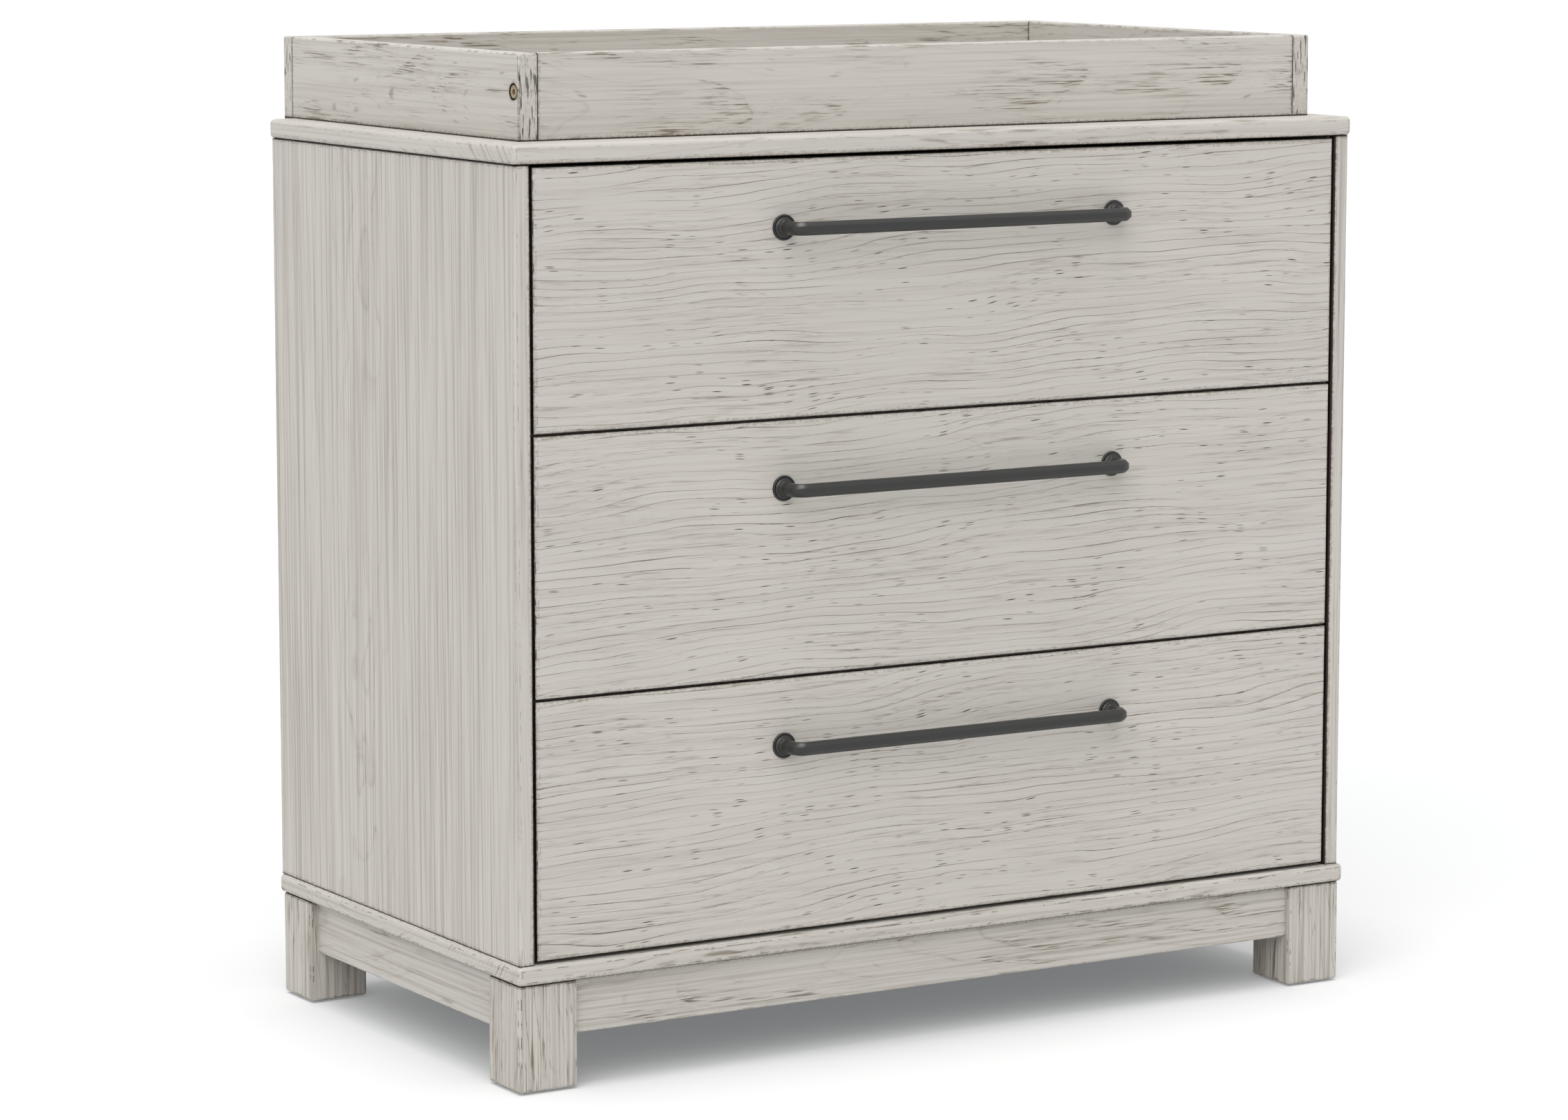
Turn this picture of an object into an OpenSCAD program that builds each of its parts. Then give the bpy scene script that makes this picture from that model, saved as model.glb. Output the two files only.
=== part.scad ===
// Changing table: a three-drawer dresser on four square legs, with an open tray frame fixed on its top.
// Millimetres. X runs left to right seen from the front, Y runs front to back and Z is up.
// The origin is on the floor, in the middle of the whole table's width and depth.

/* [Case] */
// Width of the case over its side panels
case_w = 898; // [700:1:1100]
// Depth of the case, from the drawer faces to the back panel
case_d = 484; // [400:1:600]
// Height of the case between the base panel and the top panel
case_h = 705; // [580:1:900]
// Thickness of the side panels
side_t = 16; // [15:1:22]
// Thickness of the back panel
back_t = 5; // [3:1:8]
// Width of the rebate that the back panel sits in
back_rebate = 8; // [6:0.5:9]
// Radius on the front edges of the side panels
side_r = 3; // [1:0.5:6]
// Depth of a cross rail, front to back
rail_d = 60; // [40:1:100]
// Thickness of a cross rail
rail_t = 18; // [15:1:22]

/* [Top panel] */
// Thickness of the top panel
top_t = 18; // [15:1:25]
// Overhang of the top panel past each side panel
top_over_side = 2; // [0:0.5:10]
// Overhang of the top panel past the drawer faces
top_over_front = 2; // [0:0.5:10]
// Overhang of the top panel past the back of the case
top_over_back = 3; // [2:0.5:10]
// Radius on the edges and corners of the top panel
top_r = 4.5; // [1:0.5:7]

/* [Base panel] */
// Thickness of the base panel
base_t = 17; // [15:1:25]
// Overhang of the base panel past each side panel
base_over_side = 3; // [0:0.5:10]
// Overhang of the base panel past the drawer faces
base_over_front = 4.5; // [0:0.5:10]
// Radius on the edges of the base panel
base_r = 4; // [1:0.5:7]

/* [Legs] */
// Width of a square leg
leg_w = 59; // [45:1:80]
// Height of a leg above its glide
leg_h = 97; // [80:1:160]
// Distance of a leg's outer face in from the side of the base panel
leg_inset_side = 2; // [0:0.5:15]
// Distance of a leg's outer face in from the front and back of the base panel
leg_inset_end = 4; // [0:0.5:15]
// Radius on the edges of a leg
leg_r = 3; // [1:0.5:8]
// Diameter of a glide
glide_d = 30; // [20:1:40]
// Height of a glide below its leg
glide_h = 2; // [1.5:0.5:6]

/* [Aprons] */
// Height of an apron
apron_h = 50; // [30:1:75]
// Thickness of an apron
apron_t = 18; // [12:1:25]
// Distance of the front and back aprons in from the faces of the legs
apron_setback_end = 6; // [2:0.5:20]
// Distance of the side aprons in from the faces of the legs
apron_setback_side = 8.5; // [2:0.5:20]
// Radius on the lower edges of an apron
apron_r = 2; // [1:0.5:5]

/* [Drawer fronts] */
// Thickness of a drawer front
front_t = 15; // [12:1:20]
// Gap above the top drawer front
gap_top = 2.5; // [1.5:0.5:5]
// Gap between two drawer fronts
gap_between = 2; // [1:0.5:5]
// Gap under the bottom drawer front
gap_bottom = 3; // [1.5:0.5:6]
// Gap at each end of a drawer front
gap_side = 2.5; // [1:0.5:5]
// Radius on the outer edges of a drawer front
front_r = 3; // [1:0.5:5]

/* [Drawer boxes] */
// Thickness of a drawer's side and back boards
box_t = 12; // [10:1:16]
// Room between a drawer box and the back panel
box_room_back = 44; // [10:1:80]
// Height of a drawer box above the lower edge of its front
box_lift = 22; // [14:1:28]
// Distance of a drawer box's upper edge below the upper edge of its front
box_room_top = 60; // [20:1:90]
// Thickness of a drawer bottom
bottom_t = 5; // [3:0.5:8]
// Height of the drawer bottom above the lower edge of the box
bottom_lift = 8; // [5:1:15]
// Depth of the grooves that hold a drawer bottom
groove_d = 5; // [3:0.5:7]

/* [Drawer slides] */
// Gap between a case side and a drawer side, which a slide fills
slide_gap = 12.7; // [12.7:0.1:14]
// Distance of a slide's back end before the back of the drawer box
slide_room_back = 16; // [0:1:60]
// Height of a slide
slide_h = 45; // [42:1:52]
// Thickness of the slide metal
slide_t = 1.2; // [1:0.1:1.6]
// Height of a slide's centre line above the lower edge of the drawer box
slide_lift = 45; // [42:1:60]
// Distance of a slide's front end behind the back of the drawer front
slide_setback = 4; // [2:0.5:12]
// Diameter of a slide's balls
ball_d = 4.9; // [4:0.1:5]
// Number of balls in one strip of a ball cage
ball_count = 5; // [3:1:8]
// Distance between two balls
ball_pitch = 18; // [10:1:18]

/* [Handles] */
// Distance between a handle's two posts
handle_cc = 356; // [160:1:480]
// Distance of a handle below the upper edge of its drawer front
handle_drop = 61; // [40:1:110]
// Distance from the drawer face to the middle of the bar
handle_reach = 25; // [20:1:45]
// Width of the eight-sided bar across its flats
bar_w = 12; // [9:0.5:14]
// Radius of the middle of the bend at each end of the bar
bend_r = 9; // [7.5:0.5:14]
// Diameter of a rosette
rosette_d = 23.5; // [20:0.5:34]
// Thickness of a rosette
rosette_t = 3.5; // [2.5:0.5:6]
// Diameter of the collar at the foot of a post
collar_d = 16; // [14.5:0.5:19]
// Thickness of the collar at the foot of a post
collar_t = 1.8; // [1:0.1:3]
// Diameter of a handle screw
handle_screw_d = 4; // [3:0.5:5]

/* [Tray] */
// Height of the tray frame above the top panel
tray_h = 76.5; // [50:0.5:120]
// Thickness of the tray boards
tray_t = 18.5; // [15:0.5:24]
// Distance of the tray in from each side of the top panel
tray_inset_side = 25; // [5:1:60]
// Distance of the tray in from the front of the top panel
tray_inset_front = 36; // [5:1:80]
// Gap between the back edge of the top panel and the tray's back board
tray_gap = 0.5; // [0:0.1:2]
// Depth of the tray's back board below the upper face of the top panel
tray_skirt = 24; // [20:1:60]
// Radius on the edges of the tray boards
tray_r = 2; // [1:0.5:5]

/* [Tray fasteners] */
// Height of the tray bolts above the top panel
tray_bolt_z = 43; // [20:1:45]
// Diameter of a tray bolt's shank
tray_bolt_d = 6; // [4:0.5:7]
// Diameter of a tray bolt's head
tray_head_d = 11.6; // [9:0.1:13]
// Diameter of the counterbore around a tray bolt's head
tray_bore_d = 14; // [13.5:0.5:14.5]
// Width across the flats of a tray bolt's hexagon socket
tray_key = 5; // [3:0.5:5]
// Distance of a barrel nut from the end of its board
barrel_back = 32; // [20:1:60]
// Distance between the screws that hold the tray to the top panel
tray_screw_pitch = 300; // [150:1:330]

/* [Case fasteners] */
// Distance of a cam nut's centre from the edge of its board
cam_back = 34; // [25:1:34]
// Diameter of a cam nut
cam_d = 15; // [12:0.5:15]
// Diameter of a cam bolt
cam_bolt_d = 6; // [5:0.5:7]
// Distance of the case's cam fittings from its front and back
cam_inset = 60; // [50:1:90]
// Diameter of a leg bolt
leg_bolt_d = 8; // [6:1:10]
// Length of a leg bolt below the base panel
leg_bolt_reach = 45; // [30:1:60]
// Number of screws down each side of the back panel
back_screw_count = 5; // [3:1:8]

/* [Hidden] */
clear = 0.1;            // radial room around a fixed fastener
run_clear = 0.3;        // room between pieces that slide past each other
arc_steps = 5;          // flats in a quarter round
colour_paint = "#C4C1BA";
colour_paint_dark = "#B7B3AB";
colour_ply = "#D8C29A";
colour_board = "#A89C8C";
colour_zinc = "#B4B8BC";
colour_handle = "#454643";
colour_brass = "#9A8566";
colour_plastic = "#5A554E";

// Heights
base_z = glide_h + leg_h;
case_z = base_z + base_t;
top_z = case_z + case_h;
tray_z = top_z + top_t;
tray_top_z = tray_z + tray_h;

// Widths
case_x = case_w / 2;
inner_x = case_x - side_t;
top_x = case_x + top_over_side;
base_x = case_x + base_over_side;
leg_x = base_x - leg_inset_side;
tray_x = top_x - tray_inset_side;

// Depths
handle_out = handle_reach + bar_w / 2;
tray_back_out = top_over_back + tray_gap + tray_t;
overall_d = handle_out + case_d + tray_back_out;
face_y = handle_out - overall_d / 2;
back_y = face_y + case_d;
back_panel_y = back_y - back_t;
top_front_y = face_y - top_over_front;
top_back_y = back_y + top_over_back;
base_front_y = face_y - base_over_front;
leg_front_y = base_front_y + leg_inset_end;
leg_back_y = back_y - leg_inset_end;
tray_front_y = top_front_y + tray_inset_front;
tray_back_y = top_back_y + tray_gap;

// Drawers, counted from the top
levels = ["top", "middle", "bottom"];
front_h = (case_h - gap_top - gap_bottom - 2 * gap_between) / 3;
front_x = inner_x - gap_side;
front_back_y = face_y + front_t;
box_x = inner_x - slide_gap;
box_h = front_h - box_lift - box_room_top;
box_back_y = back_panel_y - box_room_back;
slide_y = front_back_y + slide_setback;
slide_len = box_back_y - slide_room_back - slide_y;
slide_inner_h = slide_h - 2 * (slide_t + ball_d + 2 * run_clear);
slide_reach = slide_gap - slide_t - 2 * run_clear;
ball_x = inner_x - slide_gap / 2;
ball_z = slide_h / 2 - slide_t - run_clear - ball_d / 2;
cage_w = ball_d + 2;
cage_t = 1;
cage_len = ball_count * ball_pitch;
rail_y = front_back_y + 1.5;

// Fastener details
cam_h = 12.5;
cam_pin = 12;           // length of a cam bolt's thread
screw_d = 3;
screw_head_d = 7;
screw_head_t = 1.5;
screw_len = 16;
tray_screw_d = 4.5;
tray_screw_head_d = 9;
tray_screw_len = 45;
tray_head_t = 3;
tray_sink = 3.5;        // depth of the counterbore around a tray bolt's head
barrel_d = 10;
leg_head_d = 16;
leg_head_t = 3;
handle_head_d = 8;
handle_head_t = 2.5;
handle_grip = 11;       // depth of the thread in a handle's post

function front_z(i) = top_z - gap_top - (i + 1) * front_h - i * gap_between;
function box_z(i) = front_z(i) + box_lift;
function handle_z(i) = front_z(i) + front_h - handle_drop;
function slide_z(i) = box_z(i) + slide_lift;
function rail_mid_z(i) = front_z(i) - gap_between / 2;

// ---- Shapes that repeat ----

// Points of a quarter round of radius r about [x, y], from angle a; a square corner where r is 0.
function corner(x, y, r, a) = r == 0 ? [[x, y]] :
    [for (k = [0:arc_steps]) [x + r * cos(a + 90 * k / arc_steps), y + r * sin(a + 90 * k / arc_steps)]];

// Rectangle from the origin, with one radius for each corner: r = [low low, high low, high high, low high].
module eased_rect(w, h, r) {
    polygon(concat(
        corner(w - r[2], h - r[2], r[2], 0),
        corner(r[3], h - r[3], r[3], 90),
        corner(r[0], r[0], r[0], 180),
        corner(w - r[1], r[1], r[1], 270)));
}

// Board between two corners. Each list gives the radii of the four edges that run along that axis.
module eased_board(lo, hi, along_x = [0, 0, 0, 0], along_y = [0, 0, 0, 0], along_z = [0, 0, 0, 0]) {
    size = hi - lo;
    translate(lo) {
        intersection() {
            linear_extrude(size.z) eased_rect(size.x, size.y, along_z);
            translate([0, size.y, 0]) rotate([90, 0, 0])
                linear_extrude(size.y) eased_rect(size.x, size.z, along_y);
            rotate([90, 0, 90]) linear_extrude(size.x) eased_rect(size.y, size.z, along_x);
        }
    }
}

// Plain block between two corners.
module block(lo, hi) {
    translate(lo) cube(hi - lo);
}

// Cylinder that starts at a point and runs along +X, -X, +Y, -Y, +Z or -Z, given as turn.
along_plus_x = [0, 90, 0];
along_minus_x = [0, -90, 0];
along_plus_y = [-90, 0, 0];
along_minus_y = [90, 0, 0];
along_minus_z = [180, 0, 0];

module rod(at, turn, d, h) {
    translate(at) rotate(turn) cylinder(d = d, h = h, $fn = 48);
}

// Child on the right side, and its mirror image on the left side.
module both_sides() {
    children();
    mirror([1, 0, 0]) children();
}

// ---- Case ----

// Cam fittings of the right side panel: local X points along the bolt, local Z goes into the board.
module at_side_cams() {
    for (y = [face_y + cam_inset, back_y - cam_inset]) {
        translate([inner_x, y, case_z + cam_back]) rotate([0, 90, 0]) children();
        translate([inner_x, y, top_z - cam_back]) mirror([0, 0, 1]) rotate([0, 90, 0]) children();
    }
}

// Cam fittings at the right end of the cross rails.
module at_rail_cams() {
    for (i = [0:1]) {
        translate([inner_x - cam_back, rail_y + rail_d / 2, rail_mid_z(i) - rail_t / 2]) children();
    }
}

module cam_nut(mid) {
    difference() {
        cylinder(d = cam_d, h = cam_h, $fn = 48);
        rod([0, 0, mid], along_plus_x, cam_bolt_d + 2 * clear, cam_d);
        translate([-cam_d * 0.3, -0.6, -1]) cube([cam_d * 0.6, 1.2, 3]);
    }
}

module cam_bolt(mid) {
    rod([1, 0, mid], along_plus_x, cam_bolt_d, cam_back + cam_pin - 1);
}

module cam_cuts(mid) {
    translate([0, 0, -1]) cylinder(d = cam_d + 2 * clear, h = cam_h + 1 + clear, $fn = 48);
    rod([0, 0, mid], along_plus_x, cam_bolt_d + 2 * clear, cam_back + cam_pin + clear);
}

module top_panel() {
    r = [top_r, top_r, top_r, top_r];
    color(colour_paint) difference() {
        eased_board([-top_x, top_front_y, top_z], [top_x, top_back_y, tray_z], r, r, r);
        both_sides() at_side_cams() cam_cuts(side_t / 2);
        for (k = [-1:1]) {
            tray_screw_hole(k);
        }
    }
}

module side_panel() {
    color(colour_paint) difference() {
        eased_board([inner_x, face_y, case_z], [case_x, back_y, top_z],
            along_z = [1, side_r, 1, 0]);
        block([inner_x - 1, back_panel_y, case_z - 1], [inner_x + back_rebate, back_y + 1, top_z + 1]);
        at_side_cams() cam_cuts(side_t / 2);
        at_rail_cams() cam_cuts(rail_t / 2);
        for (k = [0:back_screw_count - 1]) {
            back_screw_hole(k);
        }
    }
}

module base_panel() {
    front = [base_r, 0, 0, base_r];
    all_round = [base_r, base_r, base_r, base_r];
    color(colour_paint) difference() {
        eased_board([-base_x, base_front_y, base_z], [base_x, back_y, case_z],
            front, all_round, [base_r, base_r, 1, 1]);
        both_sides() {
            at_side_cams() cam_cuts(side_t / 2);
            at_legs() {
                rod([0, 0, -1], [0, 0, 0], leg_bolt_d + 2 * clear, base_t + 2);
                rod([0, 0, base_t - leg_head_t - clear], [0, 0, 0], leg_head_d + 2 * clear, leg_head_t + 1);
            }
        }
    }
}

module back_panel() {
    x = inner_x + back_rebate - clear;
    color(colour_board) difference() {
        block([-x, back_panel_y, case_z], [x, back_y, top_z]);
        both_sides() {
            for (k = [0:back_screw_count - 1]) {
                back_screw_hole(k);
            }
        }
    }
}

// Cross rail i sits behind the gap under drawer front i.
module cross_rail(i) {
    z = rail_mid_z(i);
    color(colour_paint_dark) difference() {
        block([-inner_x, rail_y, z - rail_t / 2], [inner_x, rail_y + rail_d, z + rail_t / 2]);
        both_sides() at_rail_cams() cam_cuts(rail_t / 2);
    }
}

module cam_nuts() {
    color(colour_zinc) both_sides() {
        at_side_cams() cam_nut(side_t / 2);
        at_rail_cams() cam_nut(rail_t / 2);
    }
}

module cam_bolts() {
    color(colour_zinc) both_sides() {
        at_side_cams() cam_bolt(side_t / 2);
        at_rail_cams() cam_bolt(rail_t / 2);
    }
}

function back_screw_at(k) = [
    inner_x + back_rebate / 2,
    back_y,
    case_z + case_h * (k + 0.5) / back_screw_count
];

module back_screw_hole(k) {
    rod(back_screw_at(k) + [0, 1, 0], along_minus_y, screw_d + 2 * clear, screw_len + 1 + clear);
}

module back_panel_screws() {
    color(colour_zinc) both_sides() {
        for (k = [0:back_screw_count - 1]) {
            rod(back_screw_at(k), along_minus_y, screw_d, screw_len);
            rod(back_screw_at(k), along_plus_y, screw_head_d, screw_head_t);
        }
    }
}

// ---- Legs and aprons ----

// Middles of the two right legs, at the underside of the base panel.
module at_legs() {
    for (y = [leg_front_y + leg_w / 2, leg_back_y - leg_w / 2]) {
        translate([leg_x - leg_w / 2, y, base_z]) children();
    }
}

// Leg whose middle is at [x, y].
module leg(x, y) {
    h = leg_w / 2;
    r = [leg_r, leg_r, leg_r, leg_r];
    low = [leg_r, leg_r, 0, 0];
    color(colour_paint) difference() {
        eased_board([x - h, y - h, glide_h], [x + h, y + h, base_z], low, low, r);
        rod([x, y, base_z + 1], along_minus_z, leg_bolt_d + 2 * clear, leg_bolt_reach + 1 + clear);
        rod([x, y, glide_h - 1], [0, 0, 0], screw_d + 2 * clear, screw_len + 1 + clear);
    }
}

module leg_bolts() {
    color(colour_zinc) both_sides() at_legs() {
        rod([0, 0, -leg_bolt_reach], [0, 0, 0], leg_bolt_d, leg_bolt_reach + base_t - leg_head_t);
        rod([0, 0, base_t - leg_head_t], [0, 0, 0], leg_head_d, leg_head_t);
    }
}

module leg_glides() {
    color(colour_plastic) both_sides() at_legs() {
        translate([0, 0, -base_z]) cylinder(d = glide_d, h = glide_h, $fn = 64);
        translate([0, 0, -leg_h]) cylinder(d = screw_d, h = screw_len, $fn = 48);
    }
}

// Apron board: its lower edges are eased.
module apron(lo, hi, runs_along_x) {
    low = [apron_r, apron_r, 0, 0];
    none = [0, 0, 0, 0];
    color(colour_paint) eased_board(lo, hi, runs_along_x ? low : none, runs_along_x ? none : low);
}

module apron_front() {
    x = leg_x - leg_w;
    y = leg_front_y + apron_setback_end;
    apron([-x, y, base_z - apron_h], [x, y + apron_t, base_z], true);
}

module apron_back() {
    x = leg_x - leg_w;
    y = leg_back_y - apron_setback_end;
    apron([-x, y - apron_t, base_z - apron_h], [x, y, base_z], true);
}

module apron_right() {
    x = leg_x - apron_setback_side;
    apron([x - apron_t, leg_front_y + leg_w, base_z - apron_h], [x, leg_back_y - leg_w, base_z], false);
}

// ---- Drawers ----

module drawer_front(i) {
    r = front_r;
    z = front_z(i);
    color(colour_paint) difference() {
        eased_board([-front_x, face_y, z], [front_x, front_back_y, z + front_h],
            [r, 0, 0, r], [0, 0, 0, 0], [r, r, 0, 0]);
        block([-box_x + box_t - groove_d, front_back_y - groove_d, box_z(i) + bottom_lift],
            [box_x - box_t + groove_d, front_back_y + 1, box_z(i) + bottom_lift + bottom_t]);
        both_sides() handle_screw_hole(i);
    }
}

module drawer_side(i) {
    z = box_z(i);
    color(colour_ply) difference() {
        eased_board([box_x - box_t, front_back_y, z], [box_x, box_back_y, z + box_h],
            along_y = [0, 0, 2, 2]);
        block([box_x - box_t - 1, front_back_y - 1, z + bottom_lift],
            [box_x - box_t + groove_d, box_back_y + 1, z + bottom_lift + bottom_t]);
    }
}

module drawer_back(i) {
    x = box_x - box_t;
    z = box_z(i);
    color(colour_ply) eased_board([-x, box_back_y - box_t, z + bottom_lift + bottom_t],
        [x, box_back_y, z + box_h], along_x = [0, 0, 2, 2]);
}

module drawer_bottom(i) {
    x = box_x - box_t + groove_d - clear;
    z = box_z(i) + bottom_lift;
    color(colour_ply) block([-x, front_back_y - groove_d + clear, z], [x, box_back_y, z + bottom_t]);
}

// Channel along Y: a web on the plane x = 0, and two flanges that reach towards +X.
module channel(len, h, reach) {
    rotate([90, 0, 0]) mirror([0, 0, 1]) linear_extrude(len) difference() {
        translate([0, -h / 2]) square([reach, h]);
        translate([slide_t, slide_t - h / 2]) square([reach, h - 2 * slide_t]);
    }
}

module slide_outer(i) {
    color(colour_zinc) both_sides() translate([inner_x, slide_y, slide_z(i)])
        mirror([1, 0, 0]) channel(slide_len, slide_h, slide_reach);
}

module slide_inner(i) {
    color(colour_zinc) both_sides() translate([box_x, slide_y, slide_z(i)])
        channel(slide_len, slide_inner_h, slide_reach);
}

// Two strips of balls run in the middle of each slide, above and below the inner channel.
module ball_cage(i) {
    mid_y = slide_y + slide_len / 2;
    color(colour_zinc) both_sides() {
        for (s = [-1, 1]) {
            translate([ball_x, mid_y, slide_z(i) + s * ball_z]) {
                difference() {
                    translate([-cage_w / 2, -cage_len / 2, -cage_t / 2]) cube([cage_w, cage_len, cage_t]);
                    at_balls() rod([0, 0, -cage_t], [0, 0, 0], ball_d + 2 * clear, 2 * cage_t);
                }
                at_balls() sphere(d = ball_d, $fn = 32);
            }
        }
    }
}

module at_balls() {
    for (k = [0:ball_count - 1]) {
        translate([0, (k - (ball_count - 1) / 2) * ball_pitch, 0]) children();
    }
}

// ---- Handles ----

module bar_section() {
    rotate(22.5) circle(d = bar_w / cos(22.5), $fn = 8);
}

// Bar with a bend and a post at each end; the posts' thread holes are cut from their feet.
module handle_bar(i) {
    half = handle_cc / 2;
    y = face_y - handle_reach;
    foot_y = face_y - rosette_t;
    color(colour_handle) difference() {
        union() {
            translate([-half + bend_r, y, handle_z(i)]) rotate([90, 0, 90])
                linear_extrude(handle_cc - 2 * bend_r) bar_section();
            both_sides() {
                translate([half - bend_r, y + bend_r, handle_z(i)]) rotate([0, 0, -90])
                    rotate_extrude(angle = 90, $fn = 64) translate([bend_r, 0]) bar_section();
                translate([half, foot_y, handle_z(i)]) rotate([90, 0, 0])
                    linear_extrude(handle_reach - bend_r - rosette_t) bar_section();
                rod([half, foot_y, handle_z(i)], along_minus_y, collar_d, collar_t);
            }
        }
        both_sides() handle_screw_hole(i);
    }
}

// Stepped disc with a rounded rim; its flat back lies on the drawer front.
module handle_rosettes(i) {
    rim = rosette_t * 0.6;
    rim_x = rosette_d / 2 - rim / 2;
    color(colour_handle) both_sides() difference() {
        translate([handle_cc / 2, face_y, handle_z(i)]) rotate([90, 0, 0])
            rotate_extrude($fn = 64) polygon(concat(
                [[0, 0], [rosette_d / 2, 0]],
                corner(rim_x, rim / 2, rim / 2, 0),
                [[(rim_x + collar_d / 2) / 2, rim], [collar_d / 2, rosette_t], [0, rosette_t]]));
        handle_screw_hole(i);
    }
}

module handle_screw_hole(i) {
    rod([handle_cc / 2, front_back_y + 1, handle_z(i)], along_minus_y,
        handle_screw_d + 2 * clear, front_t + rosette_t + handle_grip + 1 + clear);
}

module handle_screws(i) {
    color(colour_zinc) both_sides() {
        rod([handle_cc / 2, front_back_y, handle_z(i)], along_minus_y,
            handle_screw_d, front_t + rosette_t + handle_grip);
        rod([handle_cc / 2, front_back_y, handle_z(i)], along_plus_y, handle_head_d, handle_head_t);
    }
}

// ---- Tray ----

// Bolts through the right board into the front board, and through the back board into the right board.
front_bolt_at = [tray_x, tray_front_y + tray_t / 2, tray_z + tray_bolt_z];
back_bolt_at = [tray_x - tray_t / 2, tray_back_y + tray_t, tray_z + tray_bolt_z];
bolt_len = tray_t - tray_sink + barrel_back + barrel_d / 2 + 2;

// Cuts for one bolt whose head sinks in at the origin and whose shank runs along +Z.
module tray_bolt_cuts() {
    translate([0, 0, -1]) cylinder(d = tray_bore_d, h = tray_sink + 1, $fn = 48);
    cylinder(d = tray_bolt_d + 2 * clear, h = tray_sink + bolt_len + clear, $fn = 48);
}

module tray_bolt() {
    translate([0, 0, tray_sink - tray_head_t]) difference() {
        cylinder(d = tray_head_d, h = tray_head_t, $fn = 48);
        translate([0, 0, -1]) cylinder(d = tray_key / cos(30), h = tray_head_t, $fn = 6);
    }
    translate([0, 0, tray_sink]) cylinder(d = tray_bolt_d, h = bolt_len, $fn = 48);
}

module at_front_bolt() {
    translate(front_bolt_at) rotate(along_minus_x) children();
}

module at_back_bolt() {
    translate(back_bolt_at) rotate(along_minus_y) children();
}

// Barrel nuts go in from the inner faces of the boards, across the bolts.
module barrel_nut_at_front(grow) {
    translate(front_bolt_at + [-tray_t - barrel_back, tray_t / 2, 0]) rotate([90, 0, 0])
        translate([0, 0, -grow]) cylinder(d = barrel_d + 2 * grow, h = tray_t * 0.75 + 2 * grow, $fn = 48);
}

module barrel_nut_at_back(grow) {
    translate(back_bolt_at + [-tray_t / 2, -tray_t - barrel_back, 0]) rotate([0, 90, 0])
        translate([0, 0, -grow]) cylinder(d = barrel_d + 2 * grow, h = tray_t * 0.75 + 2 * grow, $fn = 48);
}

module tray_front() {
    x = tray_x - tray_t;
    color(colour_paint) difference() {
        eased_board([-x, tray_front_y, tray_z], [x, tray_front_y + tray_t, tray_top_z],
            along_x = [0, 0, tray_r, tray_r]);
        both_sides() {
            at_front_bolt() tray_bolt_cuts();
            barrel_nut_at_front(clear);
        }
    }
}

module tray_back() {
    r = tray_r;
    color(colour_paint) difference() {
        eased_board([-tray_x, tray_back_y, tray_z - tray_skirt], [tray_x, tray_back_y + tray_t, tray_top_z],
            [0, r, r, r], [r, r, r, r], [0, 0, r, r]);
        both_sides() at_back_bolt() tray_bolt_cuts();
        for (k = [-1:1]) {
            tray_screw_hole(k);
        }
    }
}

module tray_right() {
    color(colour_paint) difference() {
        eased_board([tray_x - tray_t, tray_front_y, tray_z], [tray_x, tray_back_y, tray_top_z],
            [0, 0, 0, tray_r], [0, 0, tray_r, tray_r], [0, tray_r, 0, 0]);
        at_front_bolt() tray_bolt_cuts();
        at_back_bolt() tray_bolt_cuts();
        barrel_nut_at_back(clear);
    }
}

module tray_bolts() {
    color(colour_brass) both_sides() {
        at_front_bolt() tray_bolt();
        at_back_bolt() tray_bolt();
    }
}

module tray_barrel_nuts() {
    color(colour_zinc) both_sides() difference() {
        union() {
            barrel_nut_at_front(0);
            barrel_nut_at_back(0);
        }
        at_front_bolt() cylinder(d = tray_bolt_d + 2 * clear, h = tray_sink + bolt_len + 1, $fn = 48);
        at_back_bolt() cylinder(d = tray_bolt_d + 2 * clear, h = tray_sink + bolt_len + 1, $fn = 48);
    }
}

// Screws k = -1, 0 and 1 hold the tray's back board to the back edge of the top panel.
function tray_screw_at(k) = [k * tray_screw_pitch, tray_back_y + tray_t, top_z + top_t / 2];

module tray_screw_hole(k) {
    rod(tray_screw_at(k) + [0, 1, 0], along_minus_y, tray_screw_d + 2 * clear, tray_screw_len + 1 + clear);
    rod(tray_screw_at(k) + [0, 1, 0], along_minus_y, tray_screw_head_d + 1, 1 + tray_sink);
}

module tray_fixing_screws() {
    color(colour_brass) {
        for (k = [-1:1]) {
            seat = tray_screw_at(k) - [0, tray_sink, 0];
            rod(seat, along_minus_y, tray_screw_d, tray_screw_len - tray_sink);
            rod(seat, along_plus_y, tray_screw_head_d, tray_head_t);
        }
    }
}

// ---- Nodes ----

top_panel();
mirror([1, 0, 0]) side_panel();  // side_panel_left
side_panel();  // side_panel_right
base_panel();
back_panel();
leg(-leg_x + leg_w / 2, leg_front_y + leg_w / 2);  // leg_front_left
leg(leg_x - leg_w / 2, leg_front_y + leg_w / 2);  // leg_front_right
leg(-leg_x + leg_w / 2, leg_back_y - leg_w / 2);  // leg_back_left
leg(leg_x - leg_w / 2, leg_back_y - leg_w / 2);  // leg_back_right
apron_front();
apron_back();
mirror([1, 0, 0]) apron_right();  // apron_left
apron_right();
cross_rail(0);  // cross_rail_upper
cross_rail(1);  // cross_rail_lower
cam_nuts();
cam_bolts();
leg_bolts();
leg_glides();
back_panel_screws();
tray_front();
tray_back();
mirror([1, 0, 0]) tray_right();  // tray_left
tray_right();
tray_bolts();
tray_barrel_nuts();
tray_fixing_screws();
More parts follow.
